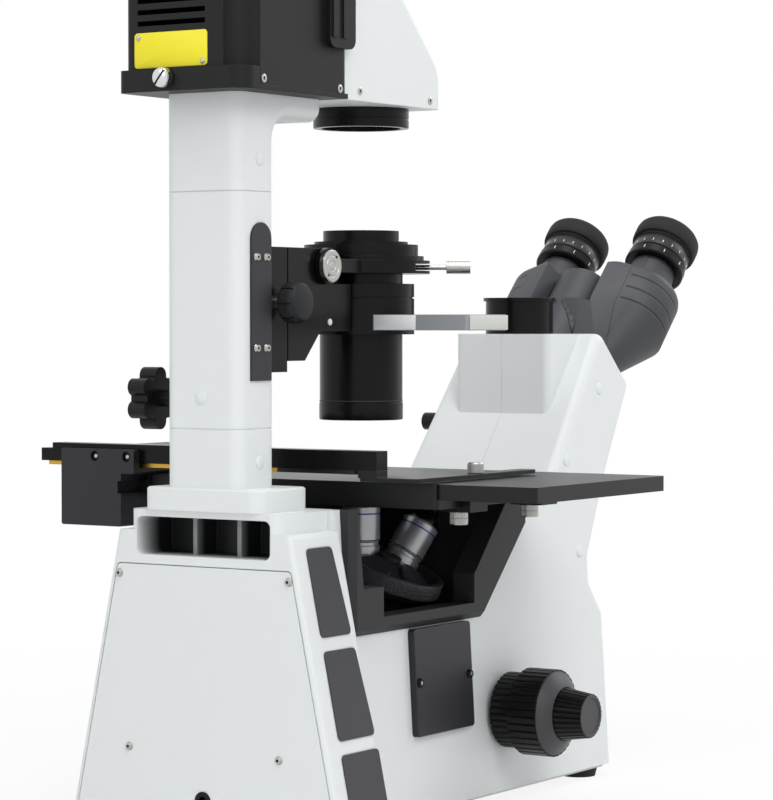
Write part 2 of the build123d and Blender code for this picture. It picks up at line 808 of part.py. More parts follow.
def screw_places():
    """Places of all the small screws, Z along the screw."""
    places = []
    for side in (-1, 1):
        places.append(Pos(side * COVER_SCREW_LOW_X, TOWER_REAR_Y, COVER_SCREW_LOW_Z) * Rot(-90, 0, 0))
        places.append(Pos(side * COVER_SCREW_TOP_X, TOWER_REAR_Y, COVER_SCREW_TOP_Z) * Rot(-90, 0, 0))
        places.append(PORT_FACE * Pos(0, side * PORT_SCREW_Y, PORT_COVER_T))
        for z in (STRIP_SCREW_LOW_Z, STRIP_SCREW_TOP_Z):
            places.append(leftward(-PILLAR_HALF - STRIP_T, STRIP_Y + side * STRIP_SCREW_Y, z))
    return places


def screw_holes():
    """Holes for the shanks of the small screws."""
    return Compound([place * post(SCREW_R, -SCREW_L - SEAM, 0) for place in screw_places()])


def make_screws():
    """Small button-head screws of the covers, all alike."""
    screw = turned([(0, -SCREW_L), (SCREW_R, -SCREW_L), (SCREW_R, 0), (SCREW_HEAD_R, 0),
                    (SCREW_HEAD_R - SCREW_HEAD_BEVEL, SCREW_HEAD_H), (0, SCREW_HEAD_H)])
    return Compound([place * screw for place in screw_places()])


def make_frame():
    """Dark frame round the nosepiece bay, with a bevelled outer edge."""
    solid = side_plate(frame_outline(), FRAME_FACE_X, FRAME_BACK_X)
    face = solid.faces().sort_by(Axis.X)[0]
    solid = chamfer([e for e in face.edges() if e.center().Z < DECK_Z - WALL], FRAME_CHAMFER)
    return solid - side_plate(mouth_outline(SILL_Z, SILL_FRONT_Y), FRAME_FACE_X - WALL, FRAME_BACK_X + WALL)


def make_liner():
    """Tub inside the bay with the focus slide guide and the light hole."""
    liner = liner_outside() - box((2 * FRAME_FACE_X, FRONT_Y, DECK_Z), (STAGE_HALF_X, REAR_Y, NECK_TOP))
    liner -= side_plate(mouth_outline(BAY_FLOOR_Z, BAY_FRONT_Y), FRAME_FACE_X, BAY_RIGHT_X)
    liner += box((SLIDE_GUIDE_X, SLIDE_GUIDE_Y - SLIDE_GUIDE_HALF, BAY_FLOOR_Z - LINER_T / 2),
                 (BAY_RIGHT_X + LINER_T / 2, SLIDE_GUIDE_Y + SLIDE_GUIDE_HALF, CARRIER_TOP_Z))
    liner -= box((CARRIER_IN_X - TAIL_GAP, FOCUS_Y, TAIL_LOW_Z),
                 (CARRIER_OUT_X + TAIL_GAP, CARRIER_FRONT_Y, STEP_Z + FOCUS_UP))
    return liner - post(LIGHT_R + LINER_T, BAY_FLOOR_Z - 2 * LINER_T, BAY_FLOOR_Z + LINER_T)


def make_port_cover():
    """Plate over the unused side port."""
    plate = extrude(RectangleRounded(PORT_COVER_SIZE, PORT_COVER_SIZE, PORT_COVER_R), PORT_COVER_T)
    plate = chamfer(plate.faces().sort_by(Axis.Z)[-1].edges(), SEAM)
    return PORT_FACE * plate - screw_holes()


def make_camera_port():
    """Tube on the neck for a camera adapter."""
    lip = PORT_H - PORT_LIP_H
    profile = [(PORT_BORE_R, 0), (PORT_R, 0), (PORT_R, lip), (PORT_LIP_R, lip), (PORT_LIP_R, PORT_H),
               (PORT_BORE_R, PORT_H)]
    return Pos(0, PORT_Y, NECK_TOP) * turned(profile)


def pillar_section(inset):
    """Rounded box section of the pillar seen from above."""
    width = 2 * PILLAR_HALF
    depth = PILLAR_REAR_Y - PILLAR_FRONT_Y
    outline = RectangleRounded(width - 2 * inset, depth - 2 * inset, PILLAR_R - inset)
    return Pos(0, (PILLAR_REAR_Y + PILLAR_FRONT_Y) / 2, 0) * outline


def pillar_tube(low, high):
    """Hollow pillar length with bevelled ends."""
    tube = Pos(0, 0, low) * extrude(pillar_section(0), high - low)
    ends = [tube.faces().sort_by(Axis.Z)[0], tube.faces().sort_by(Axis.Z)[-1]]
    tube = chamfer([e for f in ends for e in f.edges()], SEAM)
    return tube - Pos(0, 0, low) * extrude(pillar_section(PILLAR_WALL), high - low)


def make_pillar_foot():
    """Flange and lower length of the pillar."""
    flange = plan_plate(-FLANGE_HALF, FLANGE_HALF, FLANGE_FRONT_Y, FLANGE_REAR_Y, PILLAR_R,
                        DECK_Z, FLANGE_TOP_Z)
    flange = chamfer(flange.faces().sort_by(Axis.Z)[-1].edges(), 2 * SEAM)
    flange -= Pos(0, 0, DECK_Z) * extrude(pillar_section(PILLAR_WALL), FLANGE_H)
    return flange + pillar_tube(FLANGE_TOP_Z - SEAM, PILLAR_SEAM_Z)


def make_pillar_column():
    """Middle length of the pillar with the clamp hole."""
    hole = rightward(0, CLAMP_Y, CLAMP_Z) * post(CLAMP_STEM_R + RUN, PILLAR_WALL, 2 * PILLAR_HALF)
    return pillar_tube(PILLAR_SEAM_Z, ARM_SEAM_Z) - hole - screw_holes()


def make_pillar_arm():
    """Top of the pillar that bends forward under the lamp house."""
    under = ARM_TOP_Z - ARM_T
    outline = Polygon((PILLAR_REAR_Y, ARM_SEAM_Z), (PILLAR_REAR_Y, ARM_TOP_Z), (ARM_TIP_Y, ARM_TOP_Z),
                      (ARM_TIP_Y, under), (PILLAR_FRONT_Y, under), (PILLAR_FRONT_Y, ARM_SEAM_Z), align=None)
    bend = [v for v in outline.vertices() if abs(v.X - PILLAR_FRONT_Y) < SEAM and abs(v.Y - under) < SEAM]
    solid = side_plate(fillet(bend, ARM_CORNER_R), -PILLAR_HALF, PILLAR_HALF)
    cheeks = [f for f in solid.faces() if abs(f.normal_at().X) > SIDEWAYS]
    edges = [e for f in cheeks for e in f.edges()]
    edges = [e for e in edges if ARM_SEAM_Z + WALL < e.center().Z < ARM_TOP_Z - SEAM]
    edges = [e for e in edges if e.center().Y > ARM_TIP_Y + SEAM]
    solid = fillet(edges, PILLAR_R)
    return solid - Pos(0, 0, ARM_SEAM_Z) * extrude(pillar_section(PILLAR_WALL), under - ARM_SEAM_Z)


def make_strip():
    """Dark strip let onto the left side of the pillar."""
    round_z = STRIP_TOP_Z - STRIP_W / 2
    outline = Pos(STRIP_Y, (STRIP_LOW_Z + round_z) / 2) * Rectangle(STRIP_W, round_z - STRIP_LOW_Z)
    outline += Pos(STRIP_Y, round_z) * Circle(STRIP_W / 2)
    return side_plate(outline, -PILLAR_HALF - STRIP_T, -PILLAR_HALF) - screw_holes()


def make_clamp_knob():
    """Star knob that clamps the pillar height."""
    lobe = Circle(CLAMP_R - CLAMP_RING_R)
    outline = Circle(CLAMP_RING_R) + PolarLocations(CLAMP_RING_R, CLAMP_LOBES) * lobe
    star = extrude(outline, CLAMP_T)
    knob = Pos(0, 0, CLAMP_STEM) * star + post(CLAMP_STEM_R, -PILLAR_WALL, CLAMP_STEM + SEAM)
    return rightward(PILLAR_HALF, CLAMP_Y, CLAMP_Z) * knob


def make_stage():
    """Stage plate with its opening and the guide of the mechanical stage."""
    plate = plan_plate(-STAGE_HALF_X, STAGE_HALF_X, -STAGE_HALF_Y, STAGE_HALF_Y, STAGE_R, DECK_Z, STAGE_TOP)
    plate -= post(INSERT_R, STAGE_TOP - INSERT_T, STAGE_TOP + INSERT_T)
    plate -= post(STAGE_HOLE_R, DECK_Z - WALL, STAGE_TOP)
    plate -= post(STAGE_RELIEF_R, DECK_Z - WALL, DECK_Z + STAGE_RELIEF_H)
    for side in (-1, 1):
        plate -= post(THUMB_SHANK_R, DECK_Z - WALL, DECK_Z + THUMB_H, THUMB_X, side * THUMB_Y)
    plate += box((STAGE_HALF_X - STAGE_R, GUIDE_FRONT_Y, DECK_Z),
                 (GUIDE_FLANGE_X, -GUIDE_FRONT_Y, STAGE_TOP))
    return plate + box((GUIDE_FLANGE_X - SEAM, GUIDE_FRONT_Y, GUIDE_LOW_Z),
                       (GUIDE_OUT_X, -GUIDE_FRONT_Y, GUIDE_TOP_Z))


def make_insert():
    """Round insert in the stage opening."""
    return turned([(INSERT_HOLE_R, STAGE_TOP - INSERT_T), (INSERT_R - FIT, STAGE_TOP - INSERT_T),
                   (INSERT_R - FIT, STAGE_TOP), (INSERT_HOLE_R + 2 * SEAM, STAGE_TOP)])


def make_wing():
    """Stage extension on the left with hooks under the stage plate."""
    left = -STAGE_HALF_X - WING_W
    low = STAGE_TOP - WING_T
    wing = plan_plate(left, -STAGE_HALF_X, -STAGE_HALF_Y, STAGE_HALF_Y, STAGE_R, low, STAGE_TOP)
    for side in (-1, 1):
        front = side * THUMB_Y - WING_HOOK_W / 2
        rear = side * THUMB_Y + WING_HOOK_W / 2
        outer = -STAGE_HALF_X - 2 * WING_HOOK_T
        wing += box((outer, front, DECK_Z - WING_HOOK_T), (-STAGE_HALF_X, rear, low + SEAM))
        wing += box((outer, front, DECK_Z - WING_HOOK_T), (WING_HOOK_REACH - STAGE_HALF_X, rear, DECK_Z))
        wing -= post(THUMB_SHANK_R, DECK_Z - 2 * WING_HOOK_T, DECK_Z + SEAM, THUMB_X, side * THUMB_Y)
    return wing


def make_wing_screws():
    """Knurled thumb screws that hold the stage extension."""
    face = DECK_Z - WING_HOOK_T
    screw = post(THUMB_R, face - THUMB_H, face) + post(THUMB_SHANK_R, face, DECK_Z + THUMB_H)
    return Compound([Pos(THUMB_X, side * THUMB_Y, 0) * screw for side in (-1, 1)])


def make_carriage():
    """Block of the mechanical stage that runs front to back on the guide, with a head over the stage."""
    head_z = STAGE_TOP + CARRIAGE_HEAD_GAP
    outline = Polygon((CARRIAGE_IN_X, CARRIAGE_LOW_Z), (CARRIAGE_OUT_X, CARRIAGE_LOW_Z),
                      (CARRIAGE_OUT_X, CARRIAGE_TOP_Z), (CARRIAGE_HEAD_X, CARRIAGE_TOP_Z),
                      (CARRIAGE_HEAD_X, head_z), (CARRIAGE_IN_X, head_z), align=None)
    outer = [v for v in outline.vertices() if abs(v.X - CARRIAGE_IN_X) > SEAM or v.Y < STAGE_TOP]
    outline = chamfer(outer, 2 * SEAM)
    block = Pos(0, CARRIAGE_REAR_Y, 0) * extrude(Plane.XZ * outline, CARRIAGE_REAR_Y - CARRIAGE_FRONT_Y)
    block -= box((CARRIAGE_IN_X - WALL, GUIDE_FRONT_Y, GUIDE_LOW_Z - FIT),
                 (GUIDE_OUT_X + FIT, REAR_Y, GUIDE_TOP_Z + FIT))
    block -= box((CARRIAGE_HEAD_X - WALL, RAIL_IN_Y - FIT, RAIL_LOW_Z - RACK_T - FIT),
                 (CARRIAGE_OUT_X + WALL, RAIL_OUT_Y + FIT, RAIL_TOP_Z))
    for x in (CARRIAGE_BOLT_IN_X, CARRIAGE_BOLT_OUT_X):
        bolt = post(CARRIAGE_BOLT_R, -WALL, CARRIAGE_BOLT_DEPTH)
        block -= Pos(x, CARRIAGE_REAR_Y, CARRIAGE_BOLT_Z) * Rot(90, 0, 0) * bolt
    seat = post(KNOB_STEM_R + RUN, CARRIAGE_LOW_Z - WALL, CARRIAGE_LOW_Z + KNOB_SEAT, KNOB_X, KNOB_Y)
    return block - seat


def make_stage_rail():
    """Cross rail that slides left and right in the carriage."""
    rail = box((RAIL_LEFT_X, RAIL_IN_Y, RAIL_LOW_Z), (RAIL_RIGHT_X, RAIL_OUT_Y, RAIL_MID_Z))
    return rail + box((RAIL_LEFT_X, RAIL_IN_Y, RAIL_MID_Z - SEAM), (RAIL_STEP_X, RAIL_OUT_Y, RAIL_TOP_Z))


def make_stage_rack():
    """Brass rack under the cross rail."""
    middle = (RAIL_IN_Y + RAIL_OUT_Y) / 2
    return box((HOLDER_IN_X + WALL, middle - RACK_W / 2, RAIL_LOW_Z - RACK_T),
               (RAIL_RIGHT_X - WALL, middle + RACK_W / 2, RAIL_LOW_Z))


def make_holder():
    """Flat arm that carries the specimen vessel, under the left end of the rail."""
    top = HOLDER_Z + HOLDER_T
    plate = plan_plate(HOLDER_OUT_X, HOLDER_IN_X, HOLDER_FOOT_Y, RAIL_OUT_Y, STAGE_R, HOLDER_Z, top)
    inner = HOLDER_OUT_X + HOLDER_ARM_W
    plate += plan_plate(HOLDER_OUT_X, inner, HOLDER_ARM_FRONT_Y, RAIL_OUT_Y, STAGE_R, HOLDER_Z, top)
    plate += box((RAIL_LEFT_X, RAIL_IN_Y, top - SEAM), (HOLDER_IN_X, RAIL_OUT_Y, RAIL_LOW_Z))
    knob_x = HOLDER_OUT_X + HOLDER_ARM_W / 2
    return plate + post(HOLDER_KNOB_R, top - SEAM, top + HOLDER_KNOB_H, knob_x, HOLDER_KNOB_Y)


def make_y_knob():
    """Upper knob of the stage drive on a hollow stem."""
    top = CARRIAGE_LOW_Z - KNOB_STEM
    knob = Pos(0, 0, top - Y_KNOB_H) * ribbed(Y_KNOB_R, Y_KNOB_H, KNOB_RIBS)
    knob += post(KNOB_STEM_R, top - SEAM, CARRIAGE_LOW_Z + KNOB_SEAT - FIT)
    knob -= post(KNOB_CORE_R + RUN, top - 2 * Y_KNOB_H, CARRIAGE_TOP_Z)
    return Pos(KNOB_X, KNOB_Y, 0) * knob


def make_x_knob():
    """Lower knob of the stage drive on a thin shaft inside the other."""
    top = CARRIAGE_LOW_Z - KNOB_STEM - Y_KNOB_H - 2 * SEAM
    knob = Pos(0, 0, top - X_KNOB_H) * ribbed(X_KNOB_R, X_KNOB_H, KNOB_RIBS)
    knob += post(KNOB_CORE_R, top - SEAM, CARRIAGE_LOW_Z + KNOB_SEAT - FIT)
    return Pos(KNOB_X, KNOB_Y, 0) * knob


def port_place(index):
    """Seat of one nosepiece port; index 0 stands on the optical axis."""
    turn = 180 + index * 360 / TURRET_PORTS
    return TURRET * Rot(0, 0, turn) * Pos(PORT_CIRCLE_R, 0, 0) * Rot(0, TURRET_TILT, 0)


def cone_height(radius):
    """Height of the turret's conical top at a radius, in its own frame."""
    return (PORT_CIRCLE_R - radius) * math.tan(math.radians(TURRET_TILT))


def make_turret():
    """Rotating nosepiece with its ports, and plugs in the empty ones."""
    bore = TURRET_STUB_R + RUN
    web = TURRET_RIM_IN_R - TURRET_WEB_W
    profile = [
        (bore, TURRET_LOW), (TURRET_RIM_IN_R - TURRET_TAPER, TURRET_LOW), (TURRET_RIM_IN_R, TURRET_RIM_LOW),
        (TURRET_R, TURRET_RIM_LOW), (TURRET_R, TURRET_RIM_TOP), (TURRET_RIM_IN_R, TURRET_RIM_TOP),
        (TURRET_RIM_IN_R, cone_height(web) + TURRET_WEB_STEP), (web, cone_height(web)),
        (TURRET_HUB_R, cone_height(TURRET_HUB_R)), (bore, cone_height(TURRET_HUB_R)),
    ]
    turret = TURRET * turned(profile)
    for index in range(TURRET_PORTS):
        turret -= port_place(index) * post(PORT_HOLE_R, 2 * TURRET_LOW, PLUG_H)
    plug = post(PLUG_R, 0, PLUG_H) + post(PORT_THREAD_R, -WALL, SEAM)
    return Compound([turret.solid()] + [port_place(index) * plug for index in PLUG_PORTS])


def make_objectives():
    """Objectives in two of the ports."""
    nose = OBJECTIVE_L - OBJECTIVE_NOSE_L
    profile = [
        (0, -WALL), (PORT_THREAD_R, -WALL), (PORT_THREAD_R, 0), (OBJECTIVE_BASE_R, 0),
        (OBJECTIVE_BASE_R, OBJECTIVE_BASE_H), (OBJECTIVE_R, OBJECTIVE_BASE_H + OBJECTIVE_BEVEL),
        (OBJECTIVE_R, nose - OBJECTIVE_BEVEL), (OBJECTIVE_NOSE_R, nose),
        (OBJECTIVE_NOSE_R, nose + OBJECTIVE_NOSE_BAND), (OBJECTIVE_TIP_R, OBJECTIVE_L - OBJECTIVE_TIP_H),
        (OBJECTIVE_TIP_R, OBJECTIVE_L), (0, OBJECTIVE_L),
    ]
    objective = turned(profile)
    return Compound([port_place(index) * objective for index in OBJECTIVE_PORTS])


def make_carrier():
    """Sliding bracket that carries the nosepiece, with its rack tail."""
    rack_y = FOCUS_Y + PINION_R + FIT
    arm_top = CARRIER_LOW_Z + CARRIER_ARM_T
    carrier = box((CARRIER_IN_X, CARRIER_FRONT_Y, CARRIER_LOW_Z),
                  (CARRIER_OUT_X, CARRIER_REAR_Y, CARRIER_TOP_Z))
    carrier -= box((SLIDE_GUIDE_X - SLIDE_FIT, SLIDE_GUIDE_Y - SLIDE_GUIDE_HALF - SLIDE_FIT, BAY_LOW_Z),
                   (BAY_RIGHT_X, SLIDE_GUIDE_Y + SLIDE_GUIDE_HALF + SLIDE_FIT, DECK_Z))
    carrier += box((TURRET_X - WALL, TURRET_Y - CARRIER_ARM_HALF, CARRIER_LOW_Z),
                   (CARRIER_IN_X + WALL, TURRET_Y + CARRIER_ARM_HALF, arm_top))
    web_top = CARRIER_LOW_Z + TAIL_WEB_H
    carrier += box((CARRIER_IN_X, rack_y, TAIL_LOW_Z), (CARRIER_OUT_X, rack_y + TAIL_DEPTH, web_top))
    carrier += box((CARRIER_IN_X, rack_y, CARRIER_LOW_Z), (CARRIER_OUT_X, CARRIER_FRONT_Y + WALL, web_top))
    cap_low = cone_height(TURRET_HUB_R) + SEAM
    carrier += TURRET * post(TURRET_STUB_R, 2 * TURRET_LOW, cap_low + SEAM)
    carrier += TURRET * post(TURRET_CAP_R, cap_low, cap_low + TURRET_CAP_T)
    return carrier - post(LIGHT_R, BAY_FLOOR_Z, TURRET_Z)


def make_coarse():
    """Coarse focus knobs on both sides, joined by a hollow sleeve with the pinion."""
    start = BOSS_OUT_X + SEAM
    cone = COARSE_CONE_X - start
    knob = ribbed(COARSE_R, COARSE_W, COARSE_RIBS)
    root = COARSE_R - RIB_DEPTH
    knob += turned([(0, COARSE_W - SEAM), (root, COARSE_W - SEAM), (root, COARSE_W),
                    (COARSE_CONE_R, cone), (0, cone)])
    drive = rightward(-start - SEAM, FOCUS_Y, FOCUS_Z) * post(SLEEVE_R, 0, 2 * start + 2 * SEAM)
    drive += rightward(CARRIER_IN_X, FOCUS_Y, FOCUS_Z) * post(PINION_R, 0, CARRIER_OUT_X - CARRIER_IN_X)
    drive += leftward(-start, FOCUS_Y, FOCUS_Z) * knob
    drive += rightward(start, FOCUS_Y, FOCUS_Z) * knob
    return drive - rightward(0, FOCUS_Y, FOCUS_Z) * post(SHAFT_R + RUN, -2 * start, 2 * start)


def make_fine():
    """Fine focus knobs on both sides of one shaft."""
    start = COARSE_CONE_X + SEAM
    width = FINE_OUT_X - start
    end = Pos(0, 0, width) * rib_outline(FINE_R, FINE_RIBS)
    knob = loft([rib_outline(FINE_BASE_R, FINE_RIBS), end], ruled=True)
    dish = width - FINE_DISH
    knob -= turned([(0, dish), (FINE_DISH_R, dish), (FINE_DISH_R + FINE_DISH_EDGE, width), (0, width)])
    shaft = rightward(0, FOCUS_Y, FOCUS_Z) * post(SHAFT_R, -start - SEAM, start + SEAM)
    return shaft + leftward(-start, FOCUS_Y, FOCUS_Z) * knob + rightward(start, FOCUS_Y, FOCUS_Z) * knob


def make_tension_ring():
    """Ring beside the left coarse knob that sets its stiffness."""
    width = BOSS_OUT_X - RING_IN_X
    ring = ribbed(RING_R, width, COARSE_RIBS) - post(BOSS_R + RUN, -WALL, BOSS_OUT_X)
    return leftward(-RING_IN_X, FOCUS_Y, FOCUS_Z) * ring


def make_cond_rail():
    """Guide on the pillar front with a slot for the carrier and the pinion."""
    rail = box((-CR_HALF, CR_FRONT_Y, CR_LOW_Z), (CR_HALF, PILLAR_FRONT_Y, CR_TOP_Z))
    rail = chamfer(rail.edges().filter_by(Axis.Z), 2 * SEAM)
    rail -= box((-TONGUE_HALF - SLIDE_FIT, CR_FRONT_Y - WALL, CR_LOW_Z - WALL),
                (TONGUE_HALF + SLIDE_FIT, CR_FRONT_Y + CR_GROOVE_DEPTH, CR_TOP_Z + WALL))
    return rail - leftward(0, COND_KNOB_Y, COND_KNOB_Z) * post(COND_SHAFT_R + RUN, 0, 2 * CR_HALF)


def make_cond_carrier():
    """Sliding carrier of the condenser with its tongue and hinge lug."""
    back = CR_FRONT_Y - SLIDE_FIT
    outline = Polygon((back, CARRIER_BASE_Z), (back, CR_TOP_Z), (CARRIER_SHOULDER_Y, CR_TOP_Z),
                      (CARRIER_SHOULDER_Y, CARRIER_CHIN_Z), (CARRIER_CHIN_Y, CARRIER_BASE_Z), align=None)
    carrier = side_plate(outline, -CR_HALF, CR_HALF)
    carrier += box((-TONGUE_HALF, back - SEAM, CARRIER_BASE_Z),
                   (TONGUE_HALF, CR_FRONT_Y + TONGUE_DEPTH, CR_TOP_Z))
    lug = box((-LUG_HALF, COLLAR_R - SEAM, CARRIER_CHIN_Z + SEAM),
              (LUG_HALF, CARRIER_SHOULDER_Y + SEAM, COLLAR_TOP_Z - SEAM))
    lug += box((-CR_HALF, HINGE_Y, COLLAR_TOP_Z - WALL),
               (CR_HALF, CARRIER_SHOULDER_Y + SEAM, HINGE_Z + EAR_R))
    lug += rightward(0, HINGE_Y, HINGE_Z) * post(EAR_R, -CR_HALF, CR_HALF)
    lug -= post(COLLAR_R, COLLAR_LOW_Z - WALL, PLATE_TOP_Z)
    return carrier + lug - rightward(0, HINGE_Y, HINGE_Z) * post(PIN_R + RUN, -2 * CR_HALF, 2 * CR_HALF)


def make_cond_body():
    """Condenser barrel and collar with the slot for the phase slider."""
    bore = BARREL_R - BARREL_WALL
    groove = COLLAR_R - GROOVE
    body = turned([
        (bore, BARREL_LOW_Z), (BARREL_R - 2 * SEAM, BARREL_LOW_Z), (BARREL_R, BARREL_LOW_Z + 2 * SEAM),
        (BARREL_R, COLLAR_LOW_Z), (COLLAR_R, COLLAR_LOW_Z), (COLLAR_R, COLLAR_GROOVE_Z),
        (groove, COLLAR_GROOVE_Z),
        (groove, COLLAR_GROOVE_Z + GROOVE), (COLLAR_R, COLLAR_GROOVE_Z + GROOVE), (COLLAR_R, COLLAR_TOP_Z),
        (NECK_R, COLLAR_TOP_Z), (NECK_R, PLATE_LOW_Z - SLIDE_FIT), (CROWN_BORE_R, PLATE_LOW_Z - SLIDE_FIT),
        (CROWN_BORE_R, COLLAR_TOP_Z), (bore, COLLAR_TOP_Z - WALL),
    ])
    half = SLIDER_W / 2 + SLIDE_FIT
    return body - box((-SLIDER_HALF_L, -half, SLIDER_LOW_Z - SLIDE_FIT),
                      (SLIDER_HALF_L, half, SLIDER_LOW_Z + SLIDER_T + SLIDE_FIT))


def lens(radius, thickness, bulge, low):
    """Biconvex lens on the optical axis with a flat rim."""
    ball_r = (radius ** 2 + bulge ** 2) / (2 * bulge)
    glass = post(radius, low, low + thickness)
    glass &= Pos(0, 0, low + ball_r) * Sphere(ball_r)
    return glass & Pos(0, 0, low + thickness - ball_r) * Sphere(ball_r)


def make_cond_knob():
    """Height knob of the condenser on its pinion shaft."""
    knob = Pos(0, 0, COND_GAP) * ribbed(COND_KNOB_R, COND_KNOB_W, COND_KNOB_RIBS)
    knob += post(COND_BUSH_R, SEAM, COND_GAP + SEAM)
    knob += post(COND_SHAFT_R, -CR_HALF - TONGUE_HALF + WALL, COND_GAP)
    knob += post(COND_PINION_R, -CR_HALF - TONGUE_HALF + WALL, -CR_HALF + TONGUE_HALF - WALL)
    return leftward(-CR_HALF, COND_KNOB_Y, COND_KNOB_Z) * knob


def make_slider():
    """Phase slider with three openings."""
    bar = plan_plate(-SLIDER_HALF_L, SLIDER_HALF_L, -SLIDER_W / 2, SLIDER_W / 2, STAGE_R,
                     SLIDER_LOW_Z, SLIDER_LOW_Z + SLIDER_T)
    for step in (-1, 0, 1):
        bar -= post(SLIDER_HOLE_R, SLIDER_LOW_Z - WALL, STAGE_TOP * 2, step * SLIDER_TRAVEL, 0)
    return bar


def make_diaphragm():
    """Flip-up aperture diaphragm with two hinge ears and a lever slot."""
    body = turned([
        (CROWN_BORE_R, PLATE_LOW_Z), (PLATE_R, PLATE_LOW_Z), (PLATE_R, PLATE_TOP_Z), (STEP_R, PLATE_TOP_Z),
        (STEP_R, STEP_TOP_Z), (RING_DISC_R, STEP_TOP_Z), (RING_DISC_R, RING_DISC_TOP_Z),
        (CROWN_STEP_R, RING_DISC_TOP_Z), (CROWN_STEP_R, CROWN_STEP_Z), (CROWN_R, CROWN_STEP_Z),
        (CROWN_R, CROWN_TOP_Z), (CROWN_BORE_R, CROWN_TOP_Z),
    ])
    for side in (-1, 1):
        low, high = sorted((side * EAR_IN_X, side * EAR_OUT_X))
        body += rightward(0, HINGE_Y, HINGE_Z) * post(EAR_R, low, high) + box(
            (low, CROWN_STEP_R, PLATE_LOW_Z), (high, HINGE_Y, PLATE_TOP_Z))
    body -= rightward(0, HINGE_Y, HINGE_Z) * post(PIN_R, -2 * EAR_OUT_X, 2 * EAR_OUT_X)
    notch = CROWN_NOTCH_W / 2
    body -= box((-notch, -PLATE_R, CROWN_STEP_Z + SEAM), (notch, 0, CROWN_TOP_Z + WALL))
    middle = (PLATE_LOW_Z + PLATE_TOP_Z) / 2
    half = LEVER_RING_T / 2 + FIT
    body -= post(LEVER_RING_R + FIT, middle - half, middle + half)
    reach = 2 * PLATE_R
    sweep = math.radians(LEVER_SWEEP + LEVER_SLOT_EXTRA)
    edge = (reach * math.cos(sweep), reach * math.sin(sweep))
    wedge = extrude(Polygon((0, 0), (edge[0], -edge[1]), edge, align=None), 2 * half)
    return body - Pos(0, 0, middle - half) * Rot(0, 0, LEVER_AZIMUTH) * wedge


def make_pivot():
    """Hinge pin of the diaphragm with a bright cap on each side."""
    pin = post(PIN_R, -EAR_OUT_X - SEAM, EAR_OUT_X + SEAM)
    for low, high in ((-EAR_OUT_X - PIN_CAP_T, -EAR_OUT_X), (EAR_OUT_X, EAR_OUT_X + PIN_CAP_T)):
        pin += post(PIN_CAP_R, low, high)
    return rightward(0, HINGE_Y, HINGE_Z) * pin


def make_lever():
    """Iris ring with its lever."""
    middle = (PLATE_LOW_Z + PLATE_TOP_Z) / 2
    ring = post(LEVER_RING_R, -LEVER_RING_T / 2, LEVER_RING_T / 2) - post(CROWN_BORE_R - FIT, -WALL, WALL)
    ring += Rot(0, 90, 0) * post(LEVER_ROD_R, LEVER_RING_R - WALL, LEVER_ROD_L)
    ring += Rot(0, 90, 0) * post(LEVER_GRIP_R, LEVER_ROD_L - SEAM, LEVER_ROD_L + LEVER_GRIP_L)
    return Pos(0, 0, middle) * Rot(0, 0, LEVER_AZIMUTH) * ring


def lamp_outline(inset):
    """Lamp cover seen from above, with the round channel in one corner."""
    width = LAMP_RIGHT_X - LAMP_LEFT_X
    outline = Pos((LAMP_LEFT_X + LAMP_RIGHT_X) / 2, (LAMP_FRONT_Y + LAMP_REAR_Y) / 2) * RectangleRounded(
        width - 2 * inset, LAMP_REAR_Y - LAMP_FRONT_Y - 2 * inset, LAMP_R - inset)
    return outline - Pos(LAMP_LEFT_X, LAMP_REAR_Y) * Circle(CHANNEL_R + inset)


def make_tray():
    """Tray under the lamp cover, open to the front and flush with the cover on the left."""
    low = ARM_TOP_Z
    top = low + TRAY_H
    tray = box((LAMP_LEFT_X, LAMP_FRONT_Y, low), (TRAY_HALF, TRAY_REAR_Y, top))
    uprights = tray.edges().filter_by(Axis.Z)
    tray = fillet([e for e in uprights if e.center().X > 0], LAMP_R)
    uprights = tray.edges().filter_by(Axis.Z)
    tray = fillet([e for e in uprights if e.center().X < 0 and e.center().Y > LAMP_REAR_Y], TRAY_CORNER_R)
    inside = box((LAMP_LEFT_X - WALL, FRONT_Y, low + TRAY_FLOOR),
                 (TRAY_HALF - TRAY_WALL, TRAY_REAR_Y - TRAY_WALL, top + WALL))
    inside -= post(CHANNEL_R - FIT, low, top, LAMP_LEFT_X, LAMP_REAR_Y)
    hole = post(THUMB_SHANK_R + RUN, -2 * TRAY_WALL, TRAY_WALL)
    return tray - inside - Pos(LAMP_SCREW_X, TRAY_REAR_Y, LAMP_SCREW_Z) * Rot(-90, 0, 0) * hole


def make_bracket():
    """Ribbed bracket on the left side of the lamp cover."""
    face = LAMP_LEFT_X - BRACKET_T
    bracket = box((face, BRACKET_FRONT_Y, BRACKET_LOW_Z),
                  (LAMP_LEFT_X + SEAM, BRACKET_REAR_Y, BRACKET_TOP_Z))
    bracket = fillet(bracket.edges().filter_by(Axis.X), BRACKET_R)
    for y in BRACKET_RIB_Y:
        bracket += box((face - BRACKET_RIB_T, y - BRACKET_RIB_W / 2, BRACKET_LOW_Z + BRACKET_R),
                       (face + SEAM, y + BRACKET_RIB_W / 2, BRACKET_TOP_Z - BRACKET_R))
    return bracket


